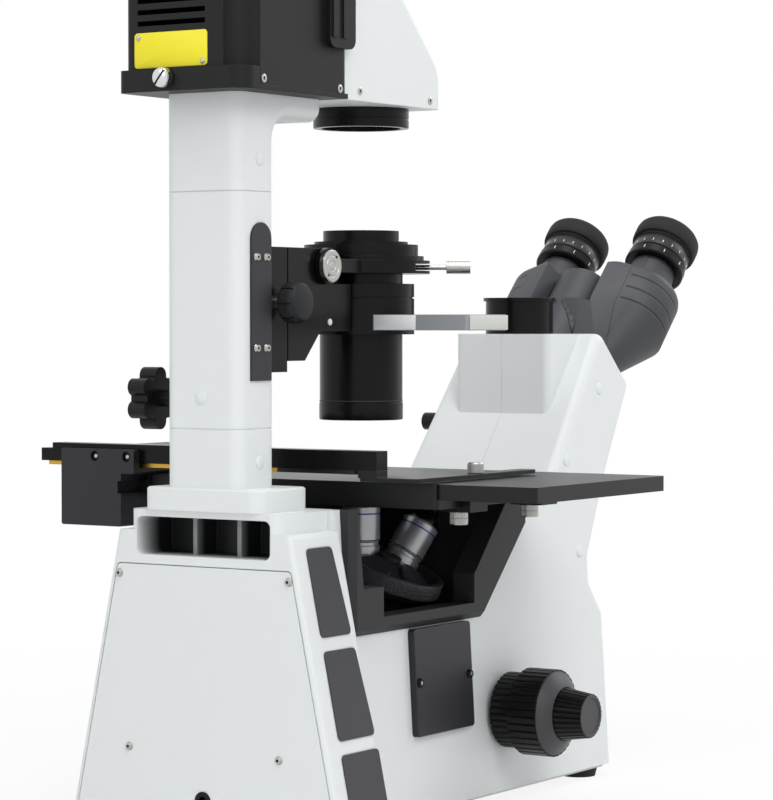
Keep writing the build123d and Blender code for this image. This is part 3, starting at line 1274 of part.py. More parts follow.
def make_lamp_cover():
    """Lamp house cover with cooling slots."""
    low = ARM_TOP_Z + TRAY_FLOOR
    cover = Pos(0, 0, low) * extrude(lamp_outline(0), LAMP_TOP_Z - low)
    cover -= Pos(0, 0, low) * extrude(lamp_outline(LAMP_WALL), LAMP_TOP_Z - LAMP_WALL - low)
    cover -= Pos(0, LAMP_FRONT_Y, BEAM_Z) * Rot(90, 0, 0) * post(BEAM_R, -2 * LAMP_WALL, LAMP_WALL)
    for row in range(SLOT_ROWS):
        z = SLOT_FIRST_Z + row * SLOT_PITCH
        cover -= box((SLOT_LEFT_X, LAMP_REAR_Y - 2 * LAMP_WALL, z),
                     (SLOT_RIGHT_X, LAMP_REAR_Y + WALL, z + SLOT_H))
    hole = post(THUMB_SHANK_R + RUN, -2 * LAMP_WALL, LAMP_WALL)
    cover -= Pos(LAMP_SCREW_X, LAMP_REAR_Y, LAMP_SCREW_Z) * Rot(-90, 0, 0) * hole
    return cover + make_bracket()


def make_nose():
    """Front of the lamp house with the sloping face over the mirror."""
    rise = LAMP_TOP_Z - NOSE_LIP_Z
    points = [(LAMP_FRONT_Y, ARM_TOP_Z), (LAMP_FRONT_Y, LAMP_TOP_Z), (NOSE_FRONT_Y + rise, LAMP_TOP_Z),
              (NOSE_FRONT_Y, NOSE_LIP_Z), (NOSE_FRONT_Y, ARM_TOP_Z)]
    outline = Polygon(*points, align=None)
    lip = [v for v in outline.vertices() if abs(v.X - NOSE_FRONT_Y) < SEAM and abs(v.Y - NOSE_LIP_Z) < SEAM]
    outline = fillet(lip, NOSE_LIP_R)
    nose = side_plate(outline, -NOSE_HALF, NOSE_HALF)
    cheeks = [f for f in nose.faces() if abs(f.normal_at().X) > SIDEWAYS]
    edges = [e for f in cheeks for e in f.edges() if e.center().Y < LAMP_FRONT_Y - SEAM]
    nose = fillet([e for e in edges if e.center().Z > ARM_TOP_Z + SEAM], NOSE_R)
    inner = offset(outline, amount=-NOSE_WALL, kind=Kind.INTERSECTION)
    nose -= side_plate(inner, NOSE_WALL - NOSE_HALF, NOSE_HALF - NOSE_WALL)
    nose -= Pos(0, LAMP_FRONT_Y, BEAM_Z) * Rot(90, 0, 0) * post(BEAM_R, -NOSE_WALL, 2 * NOSE_WALL)
    return nose - post(BEAM_R, ARM_TOP_Z - WALL, ARM_TOP_Z + WALL)


def make_mirror():
    """Mirror that turns the lamp beam down onto the optical axis."""
    return Pos(0, 0, BEAM_Z) * Rot(45, 0, 0) * Box(2 * MIRROR_HALF, MIRROR_L, MIRROR_T)


def make_collector_ring():
    """Ring that holds the collector lens under the nose."""
    low = ARM_TOP_Z - COLLECTOR_H
    bore = COLLECTOR_R - COLLECTOR_WALL
    groove = low + COLLECTOR_GROOVE_H
    return turned([(bore, low), (COLLECTOR_R - SEAM, low), (COLLECTOR_R, low + SEAM), (COLLECTOR_R, groove),
                   (COLLECTOR_R - GROOVE, groove), (COLLECTOR_R - GROOVE, groove + GROOVE),
                   (COLLECTOR_R, groove + GROOVE), (COLLECTOR_R, ARM_TOP_Z), (bore, ARM_TOP_Z)])


def make_bulb():
    """Lamp in its holder."""
    low = ARM_TOP_Z + TRAY_FLOOR
    neck = BEAM_Z - BULB_L / 2
    top = neck + BULB_L
    profile = [(0, low), (SOCKET_R, low), (SOCKET_R, neck), (BULB_NECK_R, neck),
               (BULB_R, neck + BULB_SHOULDER), (BULB_R, top - BULB_TIP),
               (BULB_TIP_R, top - BULB_DOME), (0, top)]
    return Pos(0, BULB_Y, 0) * turned(profile)


def make_lamp_screw():
    """Knurled screw that holds the lamp cover in its tray."""
    screw = post(LAMP_SCREW_R, SEAM, LAMP_SCREW_H) + post(THUMB_SHANK_R, -2 * TRAY_WALL, 2 * SEAM)
    return Pos(LAMP_SCREW_X, TRAY_REAR_Y, LAMP_SCREW_Z) * Rot(-90, 0, 0) * screw


def make_head_base():
    """Seat and hub that the two ocular arms turn on."""
    base = turned([(HEAD_BORE_R, 0), (SEAT_R, 0), (SEAT_R, SEAT_H - 2 * SEAM), (SEAT_R - 2 * SEAM, SEAT_H),
                   (HUB_R, SEAT_H), (HUB_R, HUB_TOP - HUB_EDGE), (HUB_R - HUB_EDGE, HUB_TOP), (0, HUB_TOP),
                   (0, HUB_TOP - WALL), (HEAD_BORE_R, HUB_TOP - WALL)])
    return HEAD * base


def arm_outline(radius, reach):
    """Stadium from beside the hub to the eyepiece, for the left arm."""
    angle = math.degrees(math.atan2(-EYE_DROP, -EYE_X))
    span = math.hypot(EYE_X, EYE_DROP)
    far = span * reach
    near = span * ARM_NEAR
    return Rot(0, 0, angle) * Pos((far + near) / 2, 0) * SlotCenterToCenter(far - near, 2 * radius)


def make_ocular_arm():
    """Left prism housing of the binocular head with its eyepiece tube."""
    foot = Pos(0, 0, ARM_LOW) * arm_outline(ARM_BASE_R, ARM_BASE_REACH)
    lower = loft([foot, Pos(0, 0, ARM_WIDE) * arm_outline(ARM_R, 1)])
    upper = Pos(0, 0, ARM_WIDE) * extrude(arm_outline(ARM_R, 1), ARM_TOP - ARM_WIDE)
    upper = fillet(upper.faces().sort_by(Axis.Z)[-1].edges(), ARM_TOP_R)
    arm = lower + upper
    arm -= post(HUB_R + FIT, 0, 2 * ARM_TOP)
    reach = 3 * SEAT_R
    right_side = Pos(reach / 2, 0, ARM_TOP / 2) * Box(reach, 2 * reach, 2 * ARM_TOP)
    arm -= Rot(0, 0, IPD_OPEN + ARM_CUT) * right_side
    arm -= Rot(0, 0, -IPD_CLOSE - ARM_CUT) * right_side
    tube = turned([(0, ARM_TOP - SEAM), (TUBE_R, ARM_TOP - SEAM), (TUBE_TOP_R, ARM_TOP + TUBE_H),
                   (OCULAR_R, ARM_TOP + TUBE_H), (OCULAR_R, SPIGOT_TOP), (0, SPIGOT_TOP)])
    return HEAD * (arm + Pos(-EYE_X, -EYE_DROP, 0) * tube)


def make_diopter():
    """Left dioptre ring."""
    low = ARM_TOP + TUBE_H + FIT
    top = low + DIOPTER_H
    bore = OCULAR_R + RUN
    ring = turned([(bore, low), (DIOPTER_R - DIOPTER_EDGE, low), (DIOPTER_R, low + DIOPTER_EDGE),
                   (DIOPTER_R, top - DIOPTER_EDGE), (DIOPTER_R - DIOPTER_EDGE, top), (bore, top)])
    return HEAD * Pos(-EYE_X, -EYE_DROP, 0) * ring


def make_eyepiece():
    """Left eyepiece: ring, soft eyecup and eye lens."""
    low = SPIGOT_TOP - OCULAR_SEAT
    top = low + OCULAR_RING_H
    ring = turned([(OCULAR_R, low), (OCULAR_RING_R, low), (OCULAR_RING_R, top), (EYE_LENS_R, top),
                   (EYE_LENS_R, SPIGOT_TOP), (OCULAR_R, SPIGOT_TOP)])
    cup = turned([(CUP_BORE_R, top), (OCULAR_RING_R - SEAM, top), (CUP_R, top + CUP_EDGE),
                  (CUP_R, top + CUP_H - CUP_EDGE), (CUP_R - CUP_EDGE, top + CUP_H),
                  (CUP_BORE_R + CUP_EDGE, top + CUP_H), (CUP_BORE_R, top + CUP_H - CUP_EDGE)])
    glass = post(EYE_LENS_R, SPIGOT_TOP, top)
    place = HEAD * Pos(-EYE_X, -EYE_DROP, 0)
    return Compound([place * ring, place * cup, place * glass])


def make_dial():
    """Brightness dial on the right side."""
    face = case_half(DIAL_Z)
    dial = Pos(0, 0, 2 * SEAM) * ribbed(DIAL_R, DIAL_W, DIAL_RIBS) + post(SHAFT_R, -2 * WALL, 3 * SEAM)
    return rightward(face, DIAL_Y, DIAL_Z) * dial


def make_rod():
    """Pull rod that sends the light to the eyepieces or the camera port."""
    knob = post(ROD_R, -ROD_IN, ROD_OUT + SEAM) + post(ROD_KNOB_R, ROD_OUT, ROD_OUT + ROD_KNOB_L)
    return rightward(case_half(ROD_Z), ROD_Y, ROD_Z) * knob


case = make_case()
half_space = box((-STAGE_HALF_X, 2 * FRONT_Y, 0), (0, 2 * REAR_Y, LAMP_TOP_Z))
left_arm = make_ocular_arm()
left_diopter = make_diopter()
left_eyepiece = make_eyepiece()

NODES = {
    "left_shell": case & half_space,
    "right_shell": case - half_space,
    "rear_tower": make_tower(),
    "rear_cover": make_rear_cover(),
    "cover_screws": make_screws(),
    "power_inlet": make_inlet(),
    "side_pads": pad_windows(PAD_SEAT, PAD_PROUD),
    "floor_plate": make_floor(),
    "rubber_feet": make_feet(),
    "bay_frame": make_frame(),
    "bay_liner": make_liner(),
    "side_port_cover": make_port_cover(),
    "camera_port": make_camera_port(),
    "pillar_foot": make_pillar_foot(),
    "pillar_column": make_pillar_column(),
    "pillar_arm": make_pillar_arm(),
    "pillar_strip": make_strip(),
    "pillar_clamp_knob": make_clamp_knob(),
    "stage_plate": make_stage(),
    "stage_insert": make_insert(),
    "stage_extension": make_wing(),
    "extension_thumb_screws": make_wing_screws(),
    "stage_carriage": make_carriage(),
    "stage_rail": make_stage_rail(),
    "stage_rack": make_stage_rack(),
    "specimen_holder": make_holder(),
    "stage_y_knob": make_y_knob(),
    "stage_x_knob": make_x_knob(),
    "nosepiece_carrier": make_carrier(),
    "nosepiece_turret": make_turret(),
    "objectives": make_objectives(),
    "coarse_focus_knobs": make_coarse(),
    "fine_focus_knobs": make_fine(),
    "tension_ring": make_tension_ring(),
    "condenser_rail": make_cond_rail(),
    "condenser_carrier": make_cond_carrier(),
    "condenser_body": make_cond_body(),
    "condenser_lens": lens(BARREL_R - BARREL_WALL, LENS_T, LENS_BULGE, BARREL_LOW_Z + LENS_BULGE),
    "condenser_knob": make_cond_knob(),
    "phase_slider": make_slider(),
    "diaphragm_arm": make_diaphragm(),
    "diaphragm_pivot": make_pivot(),
    "iris_lever": make_lever(),
    "lamp_tray": make_tray(),
    "lamp_cover": make_lamp_cover(),
    "lamp_nose": make_nose(),
    "lamp_mirror": make_mirror(),
    "lamp_bulb": make_bulb(),
    "lamp_thumb_screw": make_lamp_screw(),
    "collector_ring": make_collector_ring(),
    "collector_lens": lens(COLLECTOR_R - COLLECTOR_WALL, COLLECTOR_LENS_T, LENS_BULGE,
                           ARM_TOP_Z - COLLECTOR_H + WALL),
    "head_base": make_head_base(),
    "left_ocular_arm": left_arm,
    "right_ocular_arm": mirror(left_arm, Plane.YZ),
    "left_diopter_ring": left_diopter,
    "right_diopter_ring": mirror(left_diopter, Plane.YZ),
    "left_eyepiece": left_eyepiece,
    "right_eyepiece": mirror(left_eyepiece, Plane.YZ),
    "brightness_dial": make_dial(),
    "light_path_rod": make_rod(),
}

os.makedirs("parts", exist_ok=True)
for name, shape in NODES.items():
    export_step(shape, f"parts/{name}.step")
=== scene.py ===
import json
import math

import bmesh
import bpy
from bpy.props import FloatProperty, FloatVectorProperty, IntProperty, PointerProperty
from mathutils import Matrix, Vector


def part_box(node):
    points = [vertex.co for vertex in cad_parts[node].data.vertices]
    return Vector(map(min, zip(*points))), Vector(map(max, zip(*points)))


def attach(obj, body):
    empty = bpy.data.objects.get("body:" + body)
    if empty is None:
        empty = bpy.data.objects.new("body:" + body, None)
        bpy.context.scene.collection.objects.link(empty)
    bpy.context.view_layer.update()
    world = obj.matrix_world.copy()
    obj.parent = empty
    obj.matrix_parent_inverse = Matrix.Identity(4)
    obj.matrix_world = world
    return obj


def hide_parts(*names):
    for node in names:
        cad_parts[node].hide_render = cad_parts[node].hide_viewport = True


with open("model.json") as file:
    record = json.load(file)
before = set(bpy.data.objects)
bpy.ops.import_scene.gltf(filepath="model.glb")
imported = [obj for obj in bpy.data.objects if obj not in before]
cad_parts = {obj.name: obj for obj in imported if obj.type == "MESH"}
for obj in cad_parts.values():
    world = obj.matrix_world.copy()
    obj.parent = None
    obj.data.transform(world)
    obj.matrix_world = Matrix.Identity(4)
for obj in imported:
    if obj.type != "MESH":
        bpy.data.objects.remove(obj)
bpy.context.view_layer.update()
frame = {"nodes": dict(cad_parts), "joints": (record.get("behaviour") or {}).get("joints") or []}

bl_info = {
    "name": "Inverted microscope",
    "version": (1, 0, 0),
    "blender": (4, 5, 0),
    "location": "View3D > Sidebar > Microscope",
    "description": "Finishes and fine pieces of an inverted microscope around its solid model",
    "category": "Object",
}

# Sizes and places are in millimetres unless a comment says otherwise: X right, Y to the rear, Z up
MM = 0.001
NODES = frame["nodes"]
JOINTS = {joint["name"]: joint for joint in frame["joints"]}
REAR = Vector((0, 1, 0))
LEFT = Vector((-1, 0, 0))
# Outward direction of the casing's left side, which leans in as it rises
SHELL_SIDE = Vector((-0.9984, 0, 0.057))


def linear(code):
    """sRGB hex colour as linear RGBA."""
    parts = [int(code[i:i + 2], 16) / 255 for i in (1, 3, 5)]
    return [p / 12.92 if p <= 0.04045 else ((p + 0.055) / 1.055) ** 2.4 for p in parts] + [1.0]


def add(tree, kind, inputs, **settings):
    """Adds a node with its settings, values and links."""
    node = tree.nodes.new(kind)
    for key, value in settings.items():
        setattr(node, key, value)
    for key, value in inputs.items():
        if isinstance(value, bpy.types.NodeSocket):
            tree.links.new(value, node.inputs[key])
        else:
            node.inputs[key].default_value = value
    return node


def colour_value(name, description, code):
    """Colour that a user may change, from its hex value."""
    return FloatVectorProperty(
        name=name, description=description, default=linear(code), subtype="COLOR", size=4, min=0.0, max=1.0)


def length_value(name, description, millimetres):
    """Length that a user may change, held in metres."""
    return FloatProperty(
        name=name, description=description, default=millimetres * MM, subtype="DISTANCE", unit="LENGTH",
        min=0.0, precision=5)


class MicroscopeColours(bpy.types.PropertyGroup):
    """Colours of the main finishes"""

    enamel: colour_value("Enamel", "Cool white paint of the castings", "#e4e7e7")
    black: colour_value("Black anodising", "Condenser, port and small metal parts", "#0e0e0f")
    stage: colour_value("Stage black", "Stage plates", "#171718")
    lamp: colour_value("Lamp black", "Powder coat of the lamp house", "#161617")
    head: colour_value("Head charcoal", "Moulded ocular arms", "#3b3c41")
    frame: colour_value("Bay frame grey", "Frame of the nosepiece bay", "#2f2f31")
    pads: colour_value("Pad grey", "Side pads of the tower", "#464649")
    plate: colour_value("Lamp plate yellow", "Bare plate on the lamp house", "#f4e61e")
    band: colour_value("Objective band", "Colour ring on the objectives", "#2a4fa0")


class MicroscopeSizes(bpy.types.PropertyGroup):
    """Sizes of the fine pieces and of the grain in the finishes"""

    enamel_grain: length_value("Enamel grain", "Ripple of the paint", 1.6)
    moulded_grain: length_value("Moulded grain", "Texture of moulded plastic", 0.7)
    edge: length_value("Edge softness", "Radius that edges catch the light with", 0.6)
    knurl: length_value("Knurl depth", "Height of the knurling on the nosepiece rim", 0.45)
    knurl_teeth: IntProperty(
        name="Rim teeth", description="Teeth round the nosepiece rim", default=96, min=24)
    plug: length_value("Plug radius", "Flush plugs over the assembly screws", 4.0)
    tick: length_value("Tick length", "White marks on the eyepiece rings", 2.2)
    groove_pitch: length_value("Head groove pitch", "Spacing of the grooves on the ocular arms", 11.3)


def colours():
    """The colours in use."""
    return bpy.context.scene.microscope_colours


def sizes():
    """The sizes in use."""
    return bpy.context.scene.microscope_sizes


def along(origin, direction):
    """Matrix that sets Z along a direction from a point in millimetres."""
    turn = Vector(direction).to_track_quat("Z", "Y").to_matrix().to_4x4()
    return Matrix.Translation(Vector(origin) * MM) @ turn


def shift(x, y, z):
    """Matrix that moves by millimetres."""
    return Matrix.Translation((x * MM, y * MM, z * MM))


def spin(degrees, axis="Z"):
    """Matrix that turns about an axis."""
    return Matrix.Rotation(math.radians(degrees), 4, axis)


def joint_place(name):
    """Matrix with Z along a joint's axis at its point."""
    return along(Vector(JOINTS[name]["pos_m"]) / MM, JOINTS[name]["axis"])


# Distance along an ocular tube from its root to the dioptre ring
DIOPTRE_RISE = 106


def tube_place(side):
    """Matrix with Z along an ocular tube from its root."""
    return joint_place(side + "_dioptre_turn") @ shift(0, 0, -DIOPTRE_RISE)


# Depth of a finish's relief as a share of its grain
RELIEF_SHARE = 0.4


def surface(
        name, colour, metallic=0.0, roughness=0.5, grain=1.0, bump=0.1, uneven=0.06, edge=None, gleam=0.5):
    """Opaque finish with a fine grain in its relief and gloss; grain and edge are in millimetres."""
    material = bpy.data.materials.new(name)
    material.use_nodes = True
    tree = material.node_tree
    shader = tree.nodes["Principled BSDF"]
    shader.inputs["Base Color"].default_value = colour
    shader.inputs["Metallic"].default_value = metallic
    shader.inputs["Specular IOR Level"].default_value = gleam
    where = add(tree, "ShaderNodeTexCoord", {}).outputs["Object"]
    noise = add(tree, "ShaderNodeTexNoise", {"Vector": where, "Scale": 1 / (grain * MM), "Detail": 2.0})
    gloss = add(tree, "ShaderNodeMapRange", {
        "Value": noise.outputs["Fac"], "To Min": roughness - uneven, "To Max": roughness + uneven})
    tree.links.new(gloss.outputs["Result"], shader.inputs["Roughness"])
    soft = add(tree, "ShaderNodeBevel", {"Radius": edge * MM if edge else sizes().edge}, samples=4)
    relief = add(tree, "ShaderNodeBump", {
        "Strength": bump, "Distance": grain * MM * RELIEF_SHARE, "Height": noise.outputs["Fac"],
        "Normal": soft.outputs["Normal"]})
    tree.links.new(relief.outputs["Normal"], shader.inputs["Normal"])
    return material


# Grooves on the outer sides of the ocular arms: where they start and end up the tube,
# how far from the middle they begin, and the seam of the moulding just inside them
GROOVES_FROM = 45.5
GROOVES_TO = 72.1
FIRST_GROOVE = 47.5
GROOVES_OUTSIDE = 42
GROOVE_HALF = 0.35
GROOVE_EDGE = 0.9
GROOVE_DEPTH = 0.8
# Painted shade in the grooves; the seam of the mould takes the same dark colour
GROOVE_PAINTED_SHADE_AND_SEAM = "#0c0c0d"
SEAM_OUT = 40
SEAM_HALF = 0.2


def grooved(name, colour, place):
    """Moulded finish with straight grooves across the ocular tube, shade painted into them, and the dark
    seam beside them.
    """
    material = surface(name, colour, roughness=0.5, grain=sizes().moulded_grain / MM, bump=0.18, uneven=0.06)
    tree = material.node_tree
    shader = tree.nodes["Principled BSDF"]
    where = add(tree, "ShaderNodeTexCoord", {}).outputs["Object"]
    root = place.translation
    upward = place.col[2].xyz
    away = add(tree, "ShaderNodeVectorMath", {0: where, 1: root}, operation="SUBTRACT").outputs[0]
    rise = add(tree, "ShaderNodeVectorMath", {0: away, 1: upward}, operation="DOT_PRODUCT").outputs["Value"]
    step = add(tree, "ShaderNodeMath", {0: rise, 1: -FIRST_GROOVE * MM}, operation="ADD").outputs[0]
    half_pitch = sizes().groove_pitch / 2
    near = add(tree, "ShaderNodeMath", {0: step, 1: half_pitch}, operation="PINGPONG").outputs[0]
    mask = add(tree, "ShaderNodeMapRange", {
        "Value": near, "From Min": GROOVE_HALF * MM, "From Max": GROOVE_EDGE * MM,
        "To Min": 1.0, "To Max": 0.0}).outputs["Result"]
    side = add(tree, "ShaderNodeSeparateXYZ", {"Vector": where}).outputs["X"]
    wide = add(tree, "ShaderNodeMath", {0: side}, operation="ABSOLUTE").outputs[0]
    limits = (
        (wide, GROOVES_OUTSIDE, "GREATER_THAN"),
        (rise, GROOVES_FROM, "GREATER_THAN"),
        (rise, GROOVES_TO, "LESS_THAN"),
    )
    for value, limit, test in limits:
        inside = add(tree, "ShaderNodeMath", {0: value, 1: limit * MM}, operation=test).outputs[0]
        mask = add(tree, "ShaderNodeMath", {0: mask, 1: inside}, operation="MULTIPLY").outputs[0]
    seam = add(tree, "ShaderNodeMath", {0: wide, 1: SEAM_OUT * MM, 2: SEAM_HALF * MM}, operation="COMPARE")
    mask = add(tree, "ShaderNodeMath", {0: mask, 1: seam.outputs[0]}, operation="MAXIMUM").outputs[0]
    # Painted shade darkens the grooves, and the same colour marks the seam
    tint = add(tree, "ShaderNodeMix", {"Factor": mask, 6: colour, 7: linear(GROOVE_PAINTED_SHADE_AND_SEAM)}, data_type="RGBA")
    tree.links.new(tint.outputs[2], shader.inputs["Base Color"])
    relief = shader.inputs["Normal"].links[0].from_socket
    cut_in = add(tree, "ShaderNodeBump", {
        "Strength": 0.8, "Distance": GROOVE_DEPTH * MM, "Height": mask, "Normal": relief}, invert=True)
    tree.links.new(cut_in.outputs["Normal"], shader.inputs["Normal"])
    return material


# The rack is bare on the right of this X
BARE_BRASS_X = 0.0


def half_black(name, colour, dark):
    """Satin metal that is black on the left of a border across X."""
    material = surface(
        name, colour, metallic=1.0, roughness=0.32, grain=0.4, bump=0.06, uneven=0.06, edge=0.2)
    tree = material.node_tree
    shader = tree.nodes["Principled BSDF"]
    where = add(tree, "ShaderNodeTexCoord", {}).outputs["Object"]
    side = add(tree, "ShaderNodeSeparateXYZ", {"Vector": where}).outputs["X"]
    right = add(tree, "ShaderNodeMath", {0: side, 1: BARE_BRASS_X * MM}, operation="GREATER_THAN").outputs[0]
    tint = add(tree, "ShaderNodeMix", {"Factor": right, 6: dark, 7: colour}, data_type="RGBA")
    tree.links.new(tint.outputs[2], shader.inputs["Base Color"])
    tree.links.new(right, shader.inputs["Metallic"])
    return material


# Hand-grip pockets of the tower, and the depth at which the shade painted into them is full
GRIP_OPEN_Y = 166.5
GRIP_FULL_SHADE_Y = 145.0
GRIP_HALF = 48.2
GRIP_Z = 179.75
GRIP_HALF_HEIGHT = 11.5
GRIP_PAINTED_SHADE = "#1d1f21"


def grip_with_painted_shade(name, colour):
    """Enamel with shade painted into the hand-grip pockets, darker with their depth."""
    material = surface(
        name, colour, roughness=0.42, grain=sizes().enamel_grain / MM, bump=0.05, uneven=0.05, edge=1.0)
    tree = material.node_tree
    shader = tree.nodes["Principled BSDF"]
    where = add(tree, "ShaderNodeTexCoord", {}).outputs["Object"]
    split = add(tree, "ShaderNodeSeparateXYZ", {"Vector": where}).outputs
    mask = add(tree, "ShaderNodeMapRange", {
        "Value": split["Y"], "From Min": GRIP_FULL_SHADE_Y * MM, "From Max": GRIP_OPEN_Y * MM,
        "To Min": 1.0, "To Max": 0.0}).outputs["Result"]
    for axis, middle, half in (("X", 0.0, GRIP_HALF), ("Z", GRIP_Z, GRIP_HALF_HEIGHT)):
        limits = {0: split[axis], 1: middle * MM, 2: half * MM}
        within = add(tree, "ShaderNodeMath", limits, operation="COMPARE")
        mask = add(tree, "ShaderNodeMath", {0: mask, 1: within.outputs[0]}, operation="MULTIPLY").outputs[0]
    # Painted shade: the enamel darkens towards the back of the pockets
    tint = add(tree, "ShaderNodeMix", {"Factor": mask, 6: colour, 7: linear(GRIP_PAINTED_SHADE)}, data_type="RGBA")
    tree.links.new(tint.outputs[2], shader.inputs["Base Color"])
    return material


def glass(name, tint, roughness=0.02):
    """Coated glass, clear unless its roughness frosts it."""
    material = bpy.data.materials.new(name)
    material.use_nodes = True
    shader = material.node_tree.nodes["Principled BSDF"]
    shader.inputs["Base Color"].default_value = linear(tint)
    shader.inputs["Roughness"].default_value = roughness
    shader.inputs["IOR"].default_value = 1.52
    shader.inputs["Transmission Weight"].default_value = 0.9
    shader.inputs["Coat Weight"].default_value = 0.5
    return material


# Limits used when faces and edges are picked: how upright a side face is,
# how nearly an edge follows an axis, and how sharp an edge is in radians
SIDEWAYS = 0.3
IN_LINE = 0.9
SHARP = 1.0
# Points nearer than this are one
MERGE = 0.001
# Width of a knurl's slope as a share of its height
TOOTH_SLOPE = 0.6


def clear():
    """Leaves nothing selected."""
    bpy.ops.object.select_all(action="DESELECT")


def pick(piece):
    """Selects one piece alone."""
    clear()
    piece.select_set(True)
    bpy.context.view_layer.objects.active = piece


def pick_faces(piece, test):
    """In edit mode, selects the faces that pass a test on centre and normal, in millimetres."""
    bpy.ops.mesh.select_all(action="DESELECT")
    bpy.ops.mesh.select_mode(type="FACE")
    mesh = bmesh.from_edit_mesh(piece.data)
    for face in mesh.faces:
        face.select_set(bool(test(face.calc_center_median() / MM, face.normal)))
    bmesh.update_edit_mesh(piece.data)


def pick_edges(piece, test):
    """In edit mode, selects the edges that pass a test."""
    bpy.ops.mesh.select_mode(type="EDGE")
    bpy.ops.mesh.select_all(action="DESELECT")
    mesh = bmesh.from_edit_mesh(piece.data)
    for edge in mesh.edges:
        edge.select_set(test(edge))
    bmesh.update_edit_mesh(piece.data)


def runs_along_y(edge):
    """Tells whether an edge follows the Y axis."""
    run = edge.verts[1].co - edge.verts[0].co
    return abs(run.y) > IN_LINE * run.length


def is_sharp(edge):
    """Tells whether an edge joins two faces at a sharp angle."""
    return len(edge.link_faces) == 2 and edge.calc_face_angle() > SHARP


def settle(piece, place):
    """Closes the modelling of a piece and puts its place into its mesh."""
    bpy.ops.mesh.select_all(action="SELECT")
    bpy.ops.mesh.remove_doubles(threshold=MERGE * MM)
    bpy.ops.mesh.normals_make_consistent(inside=False)
    bpy.ops.object.mode_set(mode="OBJECT")
    piece.matrix_world = place or Matrix()
    pick(piece)
    bpy.ops.object.transform_apply(location=True, rotation=True, scale=True)
    return piece


def lathe(profile, place=None, segments=48, ring=False, knurl=0.0):
    """Turned piece: a circle carried along (radius, height) steps.

    A ring is left open at both ends, and knurl raises each side face by that height.
    """
    clear()
    radius, height = profile[0]
    bpy.ops.mesh.primitive_circle_add(
        vertices=segments, radius=radius * MM, fill_type="NOTHING" if ring else "NGON", location=(0, 0, 0))
    piece = bpy.context.object
    bpy.ops.object.mode_set(mode="EDIT")
    # An open circle has no face, so only its points can be selected whole
    bpy.ops.mesh.select_mode(type="VERT")
    bpy.ops.mesh.select_all(action="SELECT")
    bpy.ops.transform.translate(value=(0, 0, height * MM))
    for next_radius, next_height in profile[1:]:
        rise = (next_height - height) * MM
        growth = next_radius / radius
        bpy.ops.mesh.extrude_region_move(TRANSFORM_OT_translate={"value": (0, 0, rise)})
        bpy.ops.transform.resize(value=(growth, growth, 1), center_override=(0, 0, 0))
        radius, height = next_radius, next_height
    bpy.ops.mesh.select_all(action="SELECT")
    bpy.ops.mesh.normals_make_consistent(inside=False)
    if knurl:
        pick_faces(piece, lambda centre, normal: abs(normal.z) < SIDEWAYS)
        bpy.ops.mesh.inset(thickness=TOOTH_SLOPE * knurl * MM, depth=knurl * MM, use_individual=True)
    return settle(piece, place)


def block(low, high, soft, place=None, corner=0.0):
    """Block between two corners with soft edges; corner first rounds the edges that run along Y."""
    clear()
    size = [(b - a) * MM for a, b in zip(low, high)]
    middle = [(a + b) * MM / 2 for a, b in zip(low, high)]
    bpy.ops.mesh.primitive_cube_add(size=1.0, location=middle, scale=size)
    piece = bpy.context.object
    bpy.ops.object.transform_apply(location=True, rotation=True, scale=True)
    bpy.ops.object.mode_set(mode="EDIT")
    if corner:
        pick_edges(piece, runs_along_y)
        bpy.ops.mesh.bevel(offset=corner * MM, segments=4, affect="EDGES")
    pick_edges(piece, is_sharp)
    bpy.ops.mesh.bevel(offset=soft * MM, segments=2, affect="EDGES")
    return settle(piece, place)


def repeat(piece, places):
    """Copies of a piece modelled at the origin, one at each place, joined as one object."""
    copies = []
    for place in places:
        pick(piece)
        bpy.ops.object.duplicate(linked=False)
        copy = bpy.context.object
        copy.matrix_world = place
        bpy.ops.object.transform_apply(location=True, rotation=True, scale=True)
        copies.append(copy)
    pick(piece)
    bpy.ops.object.delete()
    clear()
    for copy in copies:
        copy.select_set(True)
    bpy.context.view_layer.objects.active = copies[0]
    bpy.ops.object.join()
    return bpy.context.object


def cut(piece, tool):
    """Cuts a tool's shape out of a piece and removes the tool."""
    pick(piece)
    modifier = piece.modifiers.new("cut", "BOOLEAN")
    modifier.operation = "DIFFERENCE"
    modifier.solver = "EXACT"
    modifier.object = tool
    bpy.ops.object.modifier_apply(modifier=modifier.name)
    pick(tool)
    bpy.ops.object.delete()


def dress(piece, name, finish, body, angle=40.0):
    """Names a finished piece, gives it its finish and lets it ride on its body."""
    piece.name = name
    piece.data.name = name
    piece.data.materials.clear()
    piece.data.materials.append(MATERIALS[finish])
    pick(piece)
    bpy.ops.object.shade_smooth_by_angle(angle=math.radians(angle))
    clear()
    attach(piece, body)
    return piece


MATERIALS = {}


